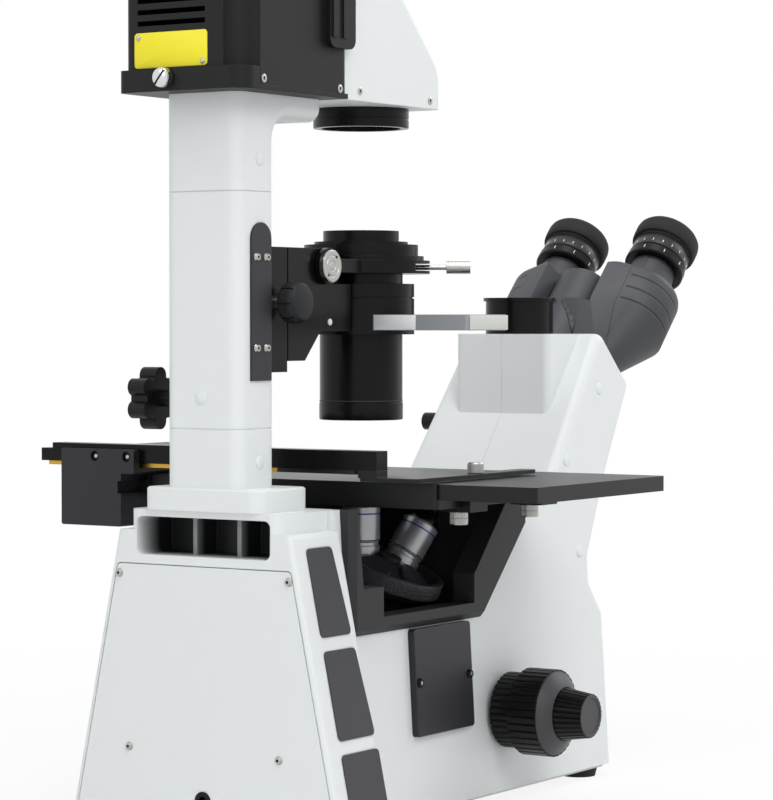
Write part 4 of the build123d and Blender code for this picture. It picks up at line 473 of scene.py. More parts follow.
def make_painted_finishes():
    """Paint, powder coat, filling paint and lacquer."""
    hues = colours()
    paint = sizes().enamel_grain / MM
    grain = sizes().moulded_grain / MM
    # Baked enamel on castings: pale and satin, with a faint ripple drawn coarse enough to show
    MATERIALS["enamel"] = surface(
        "satin_white_enamel", hues.enamel, roughness=0.42, grain=paint, bump=0.05, uneven=0.05, edge=1.0)
    # The tower has the same enamel, with shade painted deep into its hand grip
    MATERIALS["tower"] = grip_with_painted_shade("tower_enamel_painted_grip_shade", hues.enamel)
    # Powder coat on sheet steel: the same white, a touch flatter and finer
    MATERIALS["cover"] = surface(
        "white_powder_coat", hues.enamel, roughness=0.5, grain=0.8, bump=0.08, uneven=0.05)
    # Flat paint inside the bay: swallows the light, with no highlight
    MATERIALS["liner"] = surface(
        "flat_black_paint", linear("#262627"), roughness=0.7, grain=grain, bump=0.15, uneven=0.05)
    # Powder coat on the lamp house: black with a dull, slightly pebbled sheen
    MATERIALS["lamp"] = surface(
        "black_lamp_powder_coat", hues.lamp, roughness=0.45, grain=0.9, bump=0.18, uneven=0.06, gleam=0.22)
    # Sprayed paint on the stage block and flat covers: a greyer black than the anodising
    MATERIALS["block"] = surface(
        "grey_black_paint", linear("#29292d"), roughness=0.4, grain=0.8, bump=0.1, uneven=0.05, edge=0.4,
        gleam=0.3)
    # Lacquered plate: flat strong yellow with a smooth gloss
    MATERIALS["plate"] = surface(
        "yellow_plate", hues.plate, roughness=0.35, grain=1.5, bump=0.04, uneven=0.04, edge=0.3)
    # Lacquer in the ring round an objective: a thin deep blue line
    MATERIALS["band"] = surface(
        "blue_band_lacquer", hues.band, roughness=0.3, grain=0.5, bump=0.03, uneven=0.03, edge=0.1)
    # Paint wiped into engraved marks: small flat whites
    MATERIALS["tick"] = surface(
        "white_filling_paint", linear("#e6e6e2"), roughness=0.5, grain=0.5, bump=0.05, uneven=0.05, edge=0.1)


def make_moulded_finishes():
    """Moulded plastic and rubber; the mould's fine grain is drawn coarse enough to show."""
    hues = colours()
    grain = sizes().moulded_grain / MM
    # ABS from a spark-eroded mould: even dark grey, nearly matt
    MATERIALS["pads"] = surface(
        "grey_moulded_abs", hues.pads, roughness=0.6, grain=grain, bump=0.25, uneven=0.06, gleam=0.25)
    # The same plastic, darker, with softer highlights down the frame's slopes
    MATERIALS["frame"] = surface(
        "bay_frame_moulded_abs", hues.frame, roughness=0.5, grain=grain, bump=0.2, uneven=0.06, gleam=0.25)
    # ABS of the head: blue-grey charcoal with a broad soft sheen
    MATERIALS["head"] = surface(
        "charcoal_moulded_abs", hues.head, roughness=0.5, grain=grain, bump=0.18, uneven=0.06)
    # The arms add fine grooves with shade painted into them, and the dark seam of the mould
    MATERIALS["arm"] = grooved("charcoal_abs_painted_groove_shade", hues.head, tube_place("left"))
    # Glass-filled nylon of the knobs: deep black with thin highlights along the ribs
    MATERIALS["knob"] = surface(
        "black_moulded_nylon", linear("#101011"), roughness=0.36, grain=grain, bump=0.1, uneven=0.06,
        edge=0.4, gleam=0.2)
    # Flat faces of the focus knobs: lighter grey than their ribs
    MATERIALS["face"] = surface(
        "grey_moulded_face", linear("#39383c"), roughness=0.5, grain=grain, bump=0.12, uneven=0.05, edge=0.3)
    # Vulcanised rubber of feet and eyecups: matt, with hardly any highlight
    MATERIALS["rubber"] = surface(
        "black_rubber", linear("#232324"), roughness=0.75, grain=0.9, bump=0.2, uneven=0.06, gleam=0.3)
    # Softer rubber over the condenser's knob: blue-black with a faint sheen
    MATERIALS["rubber_grey"] = surface(
        "soft_grey_rubber", linear("#1b1d20"), roughness=0.55, grain=0.6, bump=0.12, uneven=0.05, edge=0.4,
        gleam=0.25)


def make_metal_finishes():
    """Anodised, plated and bare metals, and glass."""
    hues = colours()
    # Black anodised aluminium: deep satin black with a soft sheen
    MATERIALS["black"] = surface(
        "black_anodised_aluminium", hues.black, roughness=0.24, grain=0.5, bump=0.03, uneven=0.04, edge=0.35,
        gleam=0.16)
    # Blasted before anodising: a matter black that greys towards the light
    MATERIALS["stage"] = surface(
        "matt_anodised_stage", hues.stage, roughness=0.34, grain=0.6, bump=0.08, uneven=0.06, edge=0.4,
        gleam=0.25)
    # Polished before anodising: the ring gleams more than its neighbours
    MATERIALS["ring"] = surface(
        "gloss_black_ring", linear("#141415"), roughness=0.32, grain=0.5, bump=0.03, uneven=0.04, edge=0.3)
    # Grey anodising of the turret: light enough for its knurl to show in the bay's shade
    MATERIALS["turret"] = surface(
        "grey_anodised_turret", linear("#515256"),
        metallic=0.2, roughness=0.32, grain=0.5, bump=0.05, uneven=0.05, edge=0.35)
    # Nickel-plated steel of screws and small knobs: warm grey metal
    MATERIALS["steel"] = surface(
        "plated_steel", linear("#b4b4b0"), metallic=1.0, roughness=0.3, grain=0.4, bump=0.05, edge=0.2)
    # Bright chrome: sharp white reflections
    MATERIALS["chrome"] = surface(
        "bright_chrome", linear("#d8d9da"),
        metallic=1.0, roughness=0.16, grain=0.6, bump=0.02, uneven=0.03, edge=0.2)
    # Satin chrome of the objectives: a soft grey roll of light round the barrel
    MATERIALS["barrel"] = surface(
        "satin_chrome_barrel", linear("#b4b5b8"),
        metallic=0.55, roughness=0.3, grain=0.3, bump=0.04, uneven=0.05, edge=0.2)
    # Brass rack, black on its left length, where the photograph shows no brass
    MATERIALS["brass"] = half_black("satin_brass", linear("#c79e45"), hues.black)
    # Bead-blasted aluminium: flat mid grey without reflections
    MATERIALS["slider"] = surface(
        "bead_blasted_aluminium", linear("#9a9da0"),
        metallic=0.1, roughness=0.45, grain=0.4, bump=0.15, uneven=0.05, edge=0.3)
    # Bare aluminium of the slider's end: pale and slightly warm
    MATERIALS["bright_end"] = surface(
        "bare_aluminium_end", linear("#cfd0ca"),
        metallic=0.3, roughness=0.4, grain=0.4, bump=0.1, uneven=0.05, edge=0.3)
    # Polished aluminium of the slider's rear face: nearly white
    MATERIALS["bright"] = surface(
        "polished_aluminium", linear("#f1f3f5"),
        metallic=0.1, roughness=0.35, grain=0.4, bump=0.05, uneven=0.05, edge=0.3)
    # Silvered front face: a clean mirror
    MATERIALS["mirror"] = surface(
        "silvered_mirror", linear("#f0f0f0"),
        metallic=1.0, roughness=0.05, grain=1.0, bump=0.0, uneven=0.02, edge=0.2)
    # Coated optical glass: clear with a cool reflection
    MATERIALS["lens"] = glass("coated_optical_glass", "#e8f2f6")
    # Frosted lamp glass: milky, with no clear reflection
    MATERIALS["lamp_glass"] = glass("frosted_lamp_glass", "#f2efe6", roughness=0.3)


# Finish of each solid
CAD_FINISH = {
    "enamel": ["left_shell", "right_shell", "pillar_foot", "pillar_column", "pillar_arm", "lamp_nose"],
    "tower": ["rear_tower"],
    "cover": ["rear_cover"],
    "pads": ["side_pads"],
    "frame": ["bay_frame"],
    "liner": ["bay_liner", "nosepiece_carrier"],
    "black": ["camera_port", "stage_rail", "condenser_rail",
              "condenser_carrier", "condenser_body", "diaphragm_arm", "collector_ring"],
    "stage": ["stage_plate", "stage_insert", "stage_extension", "specimen_holder"],
    "block": ["stage_carriage", "side_port_cover", "pillar_strip"],
    "turret": ["nosepiece_turret"],
    "lamp": ["lamp_tray", "lamp_cover"],
    "head": ["head_base"],
    "arm": ["left_ocular_arm", "right_ocular_arm"],
    "knob": ["coarse_focus_knobs", "fine_focus_knobs", "tension_ring", "condenser_knob", "stage_y_knob",
             "stage_x_knob", "pillar_clamp_knob", "brightness_dial", "light_path_rod", "left_diopter_ring",
             "right_diopter_ring", "power_inlet"],
    "rubber": ["rubber_feet", "left_eyepiece", "right_eyepiece"],
    "steel": ["floor_plate", "cover_screws", "extension_thumb_screws", "iris_lever"],
    "chrome": ["diaphragm_pivot", "lamp_thumb_screw"],
    "barrel": ["objectives"],
    "brass": ["stage_rack"],
    "slider": ["phase_slider"],
    "mirror": ["lamp_mirror"],
    "lens": ["condenser_lens", "collector_lens"],
    "lamp_glass": ["lamp_bulb"],
}


class MICROSCOPE_OT_castings(bpy.types.Operator):
    """Gives every solid its finish"""

    bl_idname = "microscope.castings"
    bl_label = "Finish the solids"

    def execute(self, context):
        make_painted_finishes()
        make_moulded_finishes()
        make_metal_finishes()
        for finish, names in CAD_FINISH.items():
            for name in names:
                for slot in NODES[name].material_slots:
                    slot.material = MATERIALS[finish]
        return {"FINISHED"}


# Turned profiles are (radius, height) steps
SCREW_HEAD = [(2.5, 0), (2.5, 0.3), (2.2, 0.5), (1.15, 0.5), (1.0, 0.15)]
# Black disc in a screw's socket: painted shade
SCREW_SOCKET_SHADE = [(1.0, 0.0), (1.0, 0.06), (0.8, 0.1)]
SCREW_SOCKET_SHADE_LIFT = 0.15

# Lamp house: its cover reaches this far behind the pillar arm
LAMP_COVER_REACH = 16.0
LAMP_PLATE_X = (-16.8, 35.4)
LAMP_PLATE_Z = (451.8, 472.3)
LAMP_PLATE_SUNK = 0.1
LAMP_PLATE_PROUD = 0.5
LAMP_PLATE_CORNER = 2.2
LAMP_PLATE_EDGE = 0.12
RIVET = [(1.6, -0.1), (1.6, 0.3), (1.2, 0.7), (0.5, 0.85)]
RIVET_PLACES = ((32.4, 469.6), (-13.8, 454.4))
LAMP_SIDE_SCREWS = ((-43, 165.3, 444.4), (-43, 87.5, 443.5), (-40, 61.5, 443.9), (-40, -17.5, 443.0))
LAMP_SCREW_GRIP = [(5.4, -2.3), (5.4, 2.6)]
LAMP_SCREW_KNURL = 0.3
LAMP_SCREW_FACE = [(5.3, 2.6), (5.3, 3.2), (4.6, 3.7), (2.5, 3.9)]
# The screw's slot is a black bar on its face: painted shade
LAMP_SCREW_SLOT_SHADE = ((-5.0, -0.65, 3.2), (5.0, 0.65, 3.96))
LAMP_SCREW_SLOT_EDGE = 0.1
LAMP_SCREW_SLOT_TURN = 50


class MICROSCOPE_OT_lamp(bpy.types.Operator):
    """Bare plate, rivets and screws of the lamp house"""

    bl_idname = "microscope.lamp"
    bl_label = "Lamp house fittings"

    def execute(self, context):
        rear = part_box("pillar_arm")[1].y / MM + LAMP_COVER_REACH
        low = (LAMP_PLATE_X[0], rear - LAMP_PLATE_SUNK, LAMP_PLATE_Z[0])
        high = (LAMP_PLATE_X[1], rear + LAMP_PLATE_PROUD, LAMP_PLATE_Z[1])
        plate = block(low, high, LAMP_PLATE_EDGE, corner=LAMP_PLATE_CORNER)
        dress(plate, "lamp_plate_bare", "plate", "stand")
        spots = [along((x, rear + LAMP_PLATE_PROUD, z), REAR) for x, z in RIVET_PLACES]
        dress(repeat(lathe(RIVET, segments=20), spots), "lamp_plate_rivets", "steel", "stand")
        spots = [along(point, LEFT) for point in LAMP_SIDE_SCREWS]
        dress(repeat(lathe(SCREW_HEAD, segments=24), spots), "lamp_side_screws", "steel", "stand")
        lifted = [spot @ shift(0, 0, SCREW_SOCKET_SHADE_LIFT) for spot in spots]
        # Black discs in the screw recesses: painted shade
        dress(repeat(lathe(SCREW_SOCKET_SHADE, segments=12), lifted), "lamp_screw_recess_shade", "black", "stand")
        place = joint_place("lamp_screw_turn")
        grip = lathe(LAMP_SCREW_GRIP, place, segments=40, ring=True, knurl=LAMP_SCREW_KNURL)
        dress(grip, "lamp_screw_knurl", "chrome", "lamp_screw", angle=20)
        dress(lathe(LAMP_SCREW_FACE, place, segments=40), "lamp_screw_face", "chrome", "lamp_screw")
        # Black bar across the screw's face: shade painted in the slot
        slot = block(*LAMP_SCREW_SLOT_SHADE, LAMP_SCREW_SLOT_EDGE, place @ spin(LAMP_SCREW_SLOT_TURN))
        dress(slot, "lamp_screw_slot_shade", "black", "lamp_screw")
        return {"FINISHED"}


# Flush plugs: their profile past the radius, and their places on the pillar and the casing
PLUG_SUNK = 0.3
PLUG_RIM = 0.3
PLUG_BEVEL = 0.7
PLUG_TOP = 0.7
PLUG_MIDDLE_R = 1.0
PILLAR_REAR_PLUGS = ((0, 168, 261.4),)
PILLAR_SIDE_PLUGS = ((-27, 147.4, 223.5), (-27, 147.3, 399.9))
CASE_PLUGS = ((-54.1, -210.2, 259.7), (-56.9, -161.0, 213.3), (-60.3, -172.6, 152.5))


class MICROSCOPE_OT_plugs(bpy.types.Operator):
    """Flush plugs over the assembly screws of the pillar and the casing"""

    bl_idname = "microscope.plugs"
    bl_label = "Flush plugs"

    def execute(self, context):
        radius = sizes().plug / MM
        profile = [
            (radius, -PLUG_SUNK), (radius, PLUG_RIM), (radius - PLUG_BEVEL, PLUG_TOP),
            (PLUG_MIDDLE_R, PLUG_TOP)]
        plug = lathe(profile, segments=32)
        faces = ((PILLAR_REAR_PLUGS, REAR), (PILLAR_SIDE_PLUGS, LEFT), (CASE_PLUGS, SHELL_SIDE))
        spots = [along(point, outward) for points, outward in faces for point in points]
        dress(repeat(plug, spots), "assembly_screw_plugs", "enamel", "stand")
        return {"FINISHED"}


# Condenser: the height knob's grip has hollow flutes, whose width is in degrees
HEIGHT_KNOB_PLACE = (-20, 119.5, 316.5)
HEIGHT_KNOB_SHAFT = [(4.3, 0.2), (4.3, 3.0), (5.2, 3.2), (5.2, 4.6), (4.0, 4.8), (4.0, 7.5)]
HEIGHT_KNOB_GRIP = [
    (7.5, 6.4), (10.6, 6.8), (11.9, 8.4), (12.4, 11), (12.4, 14.6), (11.8, 17.2), (10, 19.1), (6, 19.9)]
FLUTES = 8
FLUTE_WIDTH = 5.7
FLUTE_DEPTH = 0.9
FLUTE_SLOPE = 0.1
FLUTE_FROM = 8
FLUTE_TO = 18
# The hinge's bright face has turned rings and two pin holes, drawn as black discs of painted shade
HINGE_FACE_OUT = 26
HINGE_FACE = [
    (9.6, -0.1), (9.6, 0.15), (9.3, 0.35), (6.9, 0.35), (6.7, 0.12), (6.0, 0.12), (5.8, 0.35), (3.4, 0.35),
    (3.2, 0.12), (2.6, 0.12), (2.4, 0.35), (1.0, 0.35)]
PIN_HOLE_SHADE = [(0.8, 0.3), (0.8, 0.4), (0.6, 0.42)]
PIN_HOLE_PLACES = ((4.4, 5.6), (-4.4, -5.6))
SET_SCREW = [(2.0, -0.4), (2.0, 0.3), (1.4, 0.5), (0.8, 0.5)]
SET_SCREW_PLACE = (-20, 64.3, 305.1)
# The barrel stands on the optical axis, so its heights are heights in the frame
BARREL_RIM = [(25.9, 244.1), (26.1, 244.3), (26.3, 244.9), (26.3, 254.0), (26.2, 254.6), (25.9, 254.8)]
# Grey ring just above the rim: a highlight painted on the black barrel
BARREL_HIGHLIGHT_RING = [(25.9, 255.6), (26.2, 255.7), (26.2, 256.2), (25.9, 256.3)]
# Thin facings on the phase slider
SLIDER_REAR_FACING = ((-55.2, 22.9, 300.3), (-24.6, 23.06, 309.4))
SLIDER_REAR_EDGE = 0.05
SLIDER_END_FACING = ((-93.8, -22.4, 300.4), (-93.4, 22.4, 309.3))
SLIDER_END_EDGE = 0.1


def in_flute(centre, normal):
    """Tells whether a face of the height knob's grip lies in one of its flutes."""
    turn = (math.degrees(math.atan2(centre.y, centre.x)) + 360) % (360 / FLUTES)
    return FLUTE_FROM < centre.z < FLUTE_TO and turn < FLUTE_WIDTH


class MICROSCOPE_OT_condenser(bpy.types.Operator):
    """Height knob, hinge face, set screw, barrel rim and slider facings of the condenser"""

    bl_idname = "microscope.condenser"
    bl_label = "Condenser fittings"

    def execute(self, context):
        place = along(HEIGHT_KNOB_PLACE, LEFT)
        dress(lathe(HEIGHT_KNOB_SHAFT, place, segments=32), "condenser_knob_shaft", "chrome", "height_knob")
        knob = lathe(HEIGHT_KNOB_GRIP, segments=64)
        bpy.ops.object.mode_set(mode="EDIT")
        pick_faces(knob, in_flute)
        bpy.ops.mesh.inset(thickness=FLUTE_SLOPE * MM, depth=-FLUTE_DEPTH * MM, use_individual=False)
        settle(knob, place)
        dress(knob, "condenser_knob_grip", "rubber_grey", "height_knob", angle=35)
        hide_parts("condenser_knob")
        hinge = joint_place("diaphragm_flip") @ shift(0, 0, HINGE_FACE_OUT)
        dress(lathe(HINGE_FACE, hinge, segments=56), "diaphragm_hinge_face", "steel", "diaphragm", angle=20)
        # The pin holes are black discs: painted shade
        spots = [hinge @ shift(x, y, 0) for x, y in PIN_HOLE_PLACES]
        dress(repeat(lathe(PIN_HOLE_SHADE, segments=14), spots), "diaphragm_hinge_hole_shade", "black", "diaphragm")
        screw = lathe(SET_SCREW, along(SET_SCREW_PLACE, LEFT), segments=20)
        dress(screw, "condenser_set_screw", "tick", "condenser")
        rim = lathe(BARREL_RIM, segments=96, ring=True)
        dress(rim, "condenser_barrel_rim", "black", "condenser", angle=30)
        # The grey ring is a painted highlight line
        line = lathe(BARREL_HIGHLIGHT_RING, segments=96, ring=True)
        dress(line, "condenser_barrel_painted_highlight", "pads", "condenser", angle=30)
        dress(block(*SLIDER_REAR_FACING, SLIDER_REAR_EDGE), "slider_bright_facing", "bright", "slider")
        dress(block(*SLIDER_END_FACING, SLIDER_END_EDGE), "slider_end_facing", "bright_end", "slider")
        return {"FINISHED"}


# Nosepiece: rows of knurling on its rim, the circle its ports lie on, and the ports with objectives
RIM_R = 37.0
RIM_LOW = -6.3
RIM_ROW = 2.4
RIM_ROWS = 5
PORT_CIRCLE_R = 18.75
PORT_STEP = 90
OBJECTIVE_PORTS = (0, 3)
OBJECTIVE_BAND = [(12.0, 25.6), (12.1, 25.7), (12.1, 26.5), (12.0, 26.6)]
OBJECTIVE_LINE = [(12.0, 9.2), (12.1, 9.3), (12.1, 9.7), (12.0, 9.8)]
OBJECTIVE_NOSE = [
    (10.6, 31.2), (10.7, 31.6), (10.7, 33.0), (9.8, 35.2), (7.4, 39.0), (6.8, 40.0), (6.8, 41.0),
    (5.4, 41.15), (4.4, 40.6)]
OBJECTIVE_FOOT = [(11.0, 0.6), (11.7, 1.0), (11.7, 2.6), (11.7, 4.2), (11.7, 5.8), (11.0, 6.2)]


class MICROSCOPE_OT_nosepiece(bpy.types.Operator):
    """Knurled rim of the nosepiece and the rings and noses of the objectives"""

    bl_idname = "microscope.nosepiece"
    bl_label = "Nosepiece fittings"

    def execute(self, context):
        axis = Vector(JOINTS["nosepiece_turn"]["axis"])
        tilt = math.degrees(math.acos(axis.z))
        azimuth = math.degrees(math.atan2(axis.y, axis.x))
        turret = Matrix.Translation(JOINTS["nosepiece_turn"]["pos_m"]) @ spin(azimuth) @ spin(tilt, "Y")
        rows = [(RIM_R, RIM_LOW + RIM_ROW * row) for row in range(RIM_ROWS)]
        knurl = lathe(rows, turret, segments=sizes().knurl_teeth, ring=True, knurl=sizes().knurl / MM)
        dress(knurl, "nosepiece_knurl", "turret", "nosepiece", angle=15)
        spots = []
        for port in OBJECTIVE_PORTS:
            round_axis = turret @ spin(180 + PORT_STEP * port)
            spots.append(round_axis @ shift(PORT_CIRCLE_R, 0, 0) @ spin(tilt, "Y"))
        band = lathe(OBJECTIVE_BAND, segments=56, ring=True)
        dress(repeat(band, spots), "objective_colour_bands", "band", "nosepiece")
        line = lathe(OBJECTIVE_LINE, segments=56, ring=True)
        dress(repeat(line, spots), "objective_dark_lines", "black", "nosepiece")
        nose = lathe(OBJECTIVE_NOSE, segments=56)
        dress(repeat(nose, spots), "objective_noses", "black", "nosepiece")
        foot = lathe(OBJECTIVE_FOOT, segments=56, ring=True)
        dress(repeat(foot, spots), "objective_foot_rings", "barrel", "nosepiece")
        return {"FINISHED"}


# Focus knobs: heights run outwards from the middle of the stand
FOCUS_MIDDLE = (0, -66, 59)
COARSE_FACE = [(26.4, 103.4), (26.2, 103.95), (17.2, 110.2), (16.9, 110.3)]
FINE_FACE = [(13.4, 128.3), (13.0, 128.8), (11.4, 128.8), (9.9, 126.9), (9.4, 126.6), (2.0, 126.6)]


class MICROSCOPE_OT_focus(bpy.types.Operator):
    """Grey faces of the coarse and fine focus knobs"""

    bl_idname = "microscope.focus"
    bl_label = "Focus knob faces"

    def execute(self, context):
        cone = lathe(COARSE_FACE, segments=72, ring=True)
        end = lathe(FINE_FACE, segments=56)
        spots = [along(FOCUS_MIDDLE, outward) for outward in (LEFT, -LEFT)]
        dress(repeat(cone, spots), "coarse_knob_faces", "face", "coarse_knobs")
        dress(repeat(end, spots), "fine_knob_faces", "face", "fine_knobs")
        return {"FINISHED"}


# Stage: knurled screws under the extension, the holder's knob and the bolts of the mechanical stage
EXTENSION_SCREW_GRIP = [(5.2, 184.5), (5.2, 188.0), (5.2, 191.5)]
EXTENSION_SCREW_KNURL = 0.3
EXTENSION_SCREWS = ((-98, -42), (-98, 42))
HOLDER_KNOB = [(4.5, 213.4), (4.8, 213.8), (4.8, 216.6), (4.8, 219.4), (4.3, 220.2), (1.5, 220.3)]
HOLDER_KNOB_KNURL = 0.25
HOLDER_KNOB_PLACE = (-95, 18)
CARRIAGE_BOLT = [(2.9, -0.2), (2.9, 1.9), (2.6, 2.3), (1.5, 2.3), (1.4, 1.0)]
CARRIAGE_BOLT_CORE = [(1.4, 1.0), (1.4, 2.4), (1.1, 2.7), (0.6, 2.7)]
CARRIAGE_BOLTS = ((108.5, 96.2, 221.5), (133.4, 96.2, 221.5))


class MICROSCOPE_OT_stage_fittings(bpy.types.Operator):
    """Knurled screws of the stage extension, holder knob and bolts of the mechanical stage"""

    bl_idname = "microscope.stage_fittings"
    bl_label = "Stage fittings"

    def execute(self, context):
        grip = lathe(EXTENSION_SCREW_GRIP, segments=36, ring=True, knurl=EXTENSION_SCREW_KNURL)
        spots = [shift(x, y, 0) for x, y in EXTENSION_SCREWS]
        dress(repeat(grip, spots), "extension_screw_knurls", "steel", "stand", angle=20)
        knob = lathe(HOLDER_KNOB, shift(*HOLDER_KNOB_PLACE, 0), segments=24, knurl=HOLDER_KNOB_KNURL)
        dress(knob, "holder_clamp_knob", "steel", "cross_rail", angle=25)
        spots = [along(point, REAR) for point in CARRIAGE_BOLTS]
        dress(repeat(lathe(CARRIAGE_BOLT, segments=28), spots), "carriage_bolts", "black", "carriage")
        core = lathe(CARRIAGE_BOLT_CORE, segments=20)
        dress(repeat(core, spots), "carriage_bolt_cores", "steel", "carriage")
        return {"FINISHED"}


# Ocular arms: in the head's own axes, Z runs up the hinge and X turns to the arm.
# Each arm loses a box on its inner side, a slope at its top and the round of the hub.
ARM_TURN = 22.07
ARM_INNER_X = 14.5
ARM_CUT_FROM = 38
HUB_R = 21.2
HUB_TO = 120
SLOPE_PLACE = (24, 0, 81.5)
SLOPE_TURN = -33
TOOL_REACH = 60
TOOL_TO = 130
TOOL_DEPTH = 40
TOOL_EDGE = 0.3
# Loose triangles of a copied solid are joined where their points are nearer than this
COPY_MERGE = 0.002


class MICROSCOPE_OT_arms(bpy.types.Operator):
    """Ocular arms cut back so that the hub shows between them"""

    bl_idname = "microscope.arms"
    bl_label = "Ocular arms"

    def execute(self, context):
        hinge = JOINTS["left_ocular"]
        rise = Vector(hinge["axis"])
        across = Vector((1, 0, 0))
        head = Matrix((across, rise.cross(across), rise)).transposed().to_4x4()
        head.translation = hinge["pos_m"]
        for side, turn in (("left", 180 + ARM_TURN), ("right", -ARM_TURN)):
            clear()
            arm = bpy.data.objects.new(side + "_arm_shell", NODES[side + "_ocular_arm"].data.copy())
            context.scene.collection.objects.link(arm)
            pick(arm)
            bpy.ops.object.mode_set(mode="EDIT")
            bpy.ops.mesh.select_all(action="SELECT")
            bpy.ops.mesh.remove_doubles(threshold=COPY_MERGE * MM)
            bpy.ops.object.mode_set(mode="OBJECT")
            place = head @ spin(turn)
            low = (-TOOL_REACH, -TOOL_REACH, ARM_CUT_FROM)
            cut(arm, block(low, (ARM_INNER_X, TOOL_REACH, TOOL_TO), TOOL_EDGE, place))
            slope = place @ shift(*SLOPE_PLACE) @ spin(SLOPE_TURN, "Y")
            cut(arm, block((-TOOL_REACH, -TOOL_REACH, 0), (0, TOOL_REACH, TOOL_DEPTH), TOOL_EDGE, slope))
            cut(arm, lathe([(HUB_R, ARM_CUT_FROM), (HUB_R, HUB_TO)], head, segments=72))
            dress(arm, side + "_arm_shell", "arm", side + "_head", angle=30)
            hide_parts(side + "_ocular_arm")
        return {"FINISHED"}


# Eyepieces: heights run up the ocular tube from its root, marks are turned about it in degrees
EYECUP = [
    (19.8, 122.7), (22.3, 123.0), (23.2, 124.2), (23.4, 127.0), (23.4, 132.6), (23.0, 134.6), (22.0, 136.0),
    (20.4, 136.8), (18.9, 136.6), (17.7, 135.4), (16.9, 133.0), (16.6, 128.0)]
EYEPIECE_RING = [(20.4, 111.0), (20.75, 111.4), (20.75, 121.0), (20.3, 121.6)]
EYE_LENS = [(12.8, 122.4), (12.8, 123.0), (10.0, 124.0), (6.0, 124.8), (2.0, 125.1)]
TICK_HALF = 0.28
TICK_FROM = 113.0
TICK_OUT = (20.7, 20.86)
TICK_TURNS = range(-130, 131, 20)
DIOPTRE_MARK = ((-0.3, 21.45, 104.6), (0.3, 21.62, 107.4))
DIOPTRE_TURNS = (-80, -40, 0, 40, 80)
MARK_EDGE = 0.05


class MICROSCOPE_OT_head(bpy.types.Operator):
    """Soft eyecups, eye lenses and white marks of the two eyepieces"""

    bl_idname = "microscope.head"
    bl_label = "Eyepiece fittings"

    def execute(self, context):
        tick_low = (-TICK_HALF, TICK_OUT[0], TICK_FROM)
        tick_high = (TICK_HALF, TICK_OUT[1], TICK_FROM + sizes().tick / MM)
        for side in ("left", "right"):
            body = side + "_head"
            place = tube_place(side)
            dress(lathe(EYECUP, place, segments=72, ring=True), side + "_eyecup", "rubber", body)
            dress(lathe(EYEPIECE_RING, place, segments=72, ring=True), side + "_eyepiece_ring", "ring", body)
            dress(lathe(EYE_LENS, place, segments=48), side + "_eye_lens", "lens", body)
            spots = [place @ spin(turn) for turn in TICK_TURNS]
            ticks = repeat(block(tick_low, tick_high, MARK_EDGE), spots)
            dress(ticks, side + "_eyepiece_marks", "tick", body)
            spots = [place @ spin(turn) for turn in DIOPTRE_TURNS]
            marks = repeat(block(*DIOPTRE_MARK, MARK_EDGE), spots)
            dress(marks, side + "_dioptre_marks", "tick", side + "_dioptre")
        return {"FINISHED"}


# Tower, pillar strip and side port: places of the screws whose sockets get painted shade and whose heads are
# added
COVER_SCREW_Y = 168.55
COVER_SCREWS = ((-54, 54.2), (-61, 156.8), (54, 54.2), (61, 156.8))
STRIP_SCREW_X = -29.75
STRIP_SCREWS = ((142, 290), (142, 342.8), (152, 290), (152, 342.8))
PORT_SCREW_HEAD = [(2.9, -0.05), (2.9, 0.9), (2.2, 1.75), (1.2, 1.75), (1.1, 1.0)]
PORT_SCREWS = ((-64.03, -18.4, 86.3), (-64.03, 39.0, 86.3))
PORT_COVER_T = 4.5


class MICROSCOPE_OT_tower(bpy.types.Operator):
    """Painted shade in the cover screws' sockets, and the screw heads of the side port cover"""

    bl_idname = "microscope.tower"
    bl_label = "Tower fittings"

    def execute(self, context):
        spots = [along((x, COVER_SCREW_Y, z), REAR) for x, z in COVER_SCREWS]
        spots += [along((STRIP_SCREW_X, y, z), LEFT) for y, z in STRIP_SCREWS]
        # Black hexagons on the cover and strip screws: shade painted in their sockets
        dress(repeat(lathe(SCREW_SOCKET_SHADE, segments=6), spots), "cover_screw_socket_shade", "black", "stand")
        spots = [along(Vector(point) + SHELL_SIDE * PORT_COVER_T, SHELL_SIDE) for point in PORT_SCREWS]
        dress(repeat(lathe(PORT_SCREW_HEAD, segments=24), spots), "port_cover_screw_heads", "black", "stand")
        return {"FINISHED"}


# Studio, in metres: the floor whitens from near the stand outwards
FLOOR_SIZE = 12.0
FLOOR_NEAR = 0.3
FLOOR_FAR = 1.0
FLOOR_NEAR_WHITE = 0.86
FLOOR_FAR_WHITE = 1.0
WORLD_LIGHT = 0.5
# Name, place, point it is aimed at, width, and power in watts
SOFTBOXES = (
    ("key_softbox", (-2.2, 1.4, 2.2), (0, 0, 0.25), 1.8, 32),
    ("rear_softbox", (0.9, 2.6, 1.5), (0, 0.1, 0.2), 1.6, 9),
    ("top_softbox", (-0.4, 0.5, 2.8), (0, 0, 0.3), 1.6, 26),
    ("front_softbox", (-1.0, -2.4, 1.8), (0, -0.1, 0.25), 1.6, 16),
)
# The camera's lens and sensor are in millimetres
CAMERA_PLACE = (-1.0204, 1.5411, 0.3057)
CAMERA_DIRECTION = (0.5447, -0.8383, -0.0268)
CAMERA_LENS = 132.5
CAMERA_SENSOR = 36.0


def brightest(tree, *values):
    """Socket with the highest of several values."""
    top = values[0]
    for value in values[1:]:
        top = add(tree, "ShaderNodeMath", {0: top, 1: value}, operation="MAXIMUM").outputs[0]
    return top


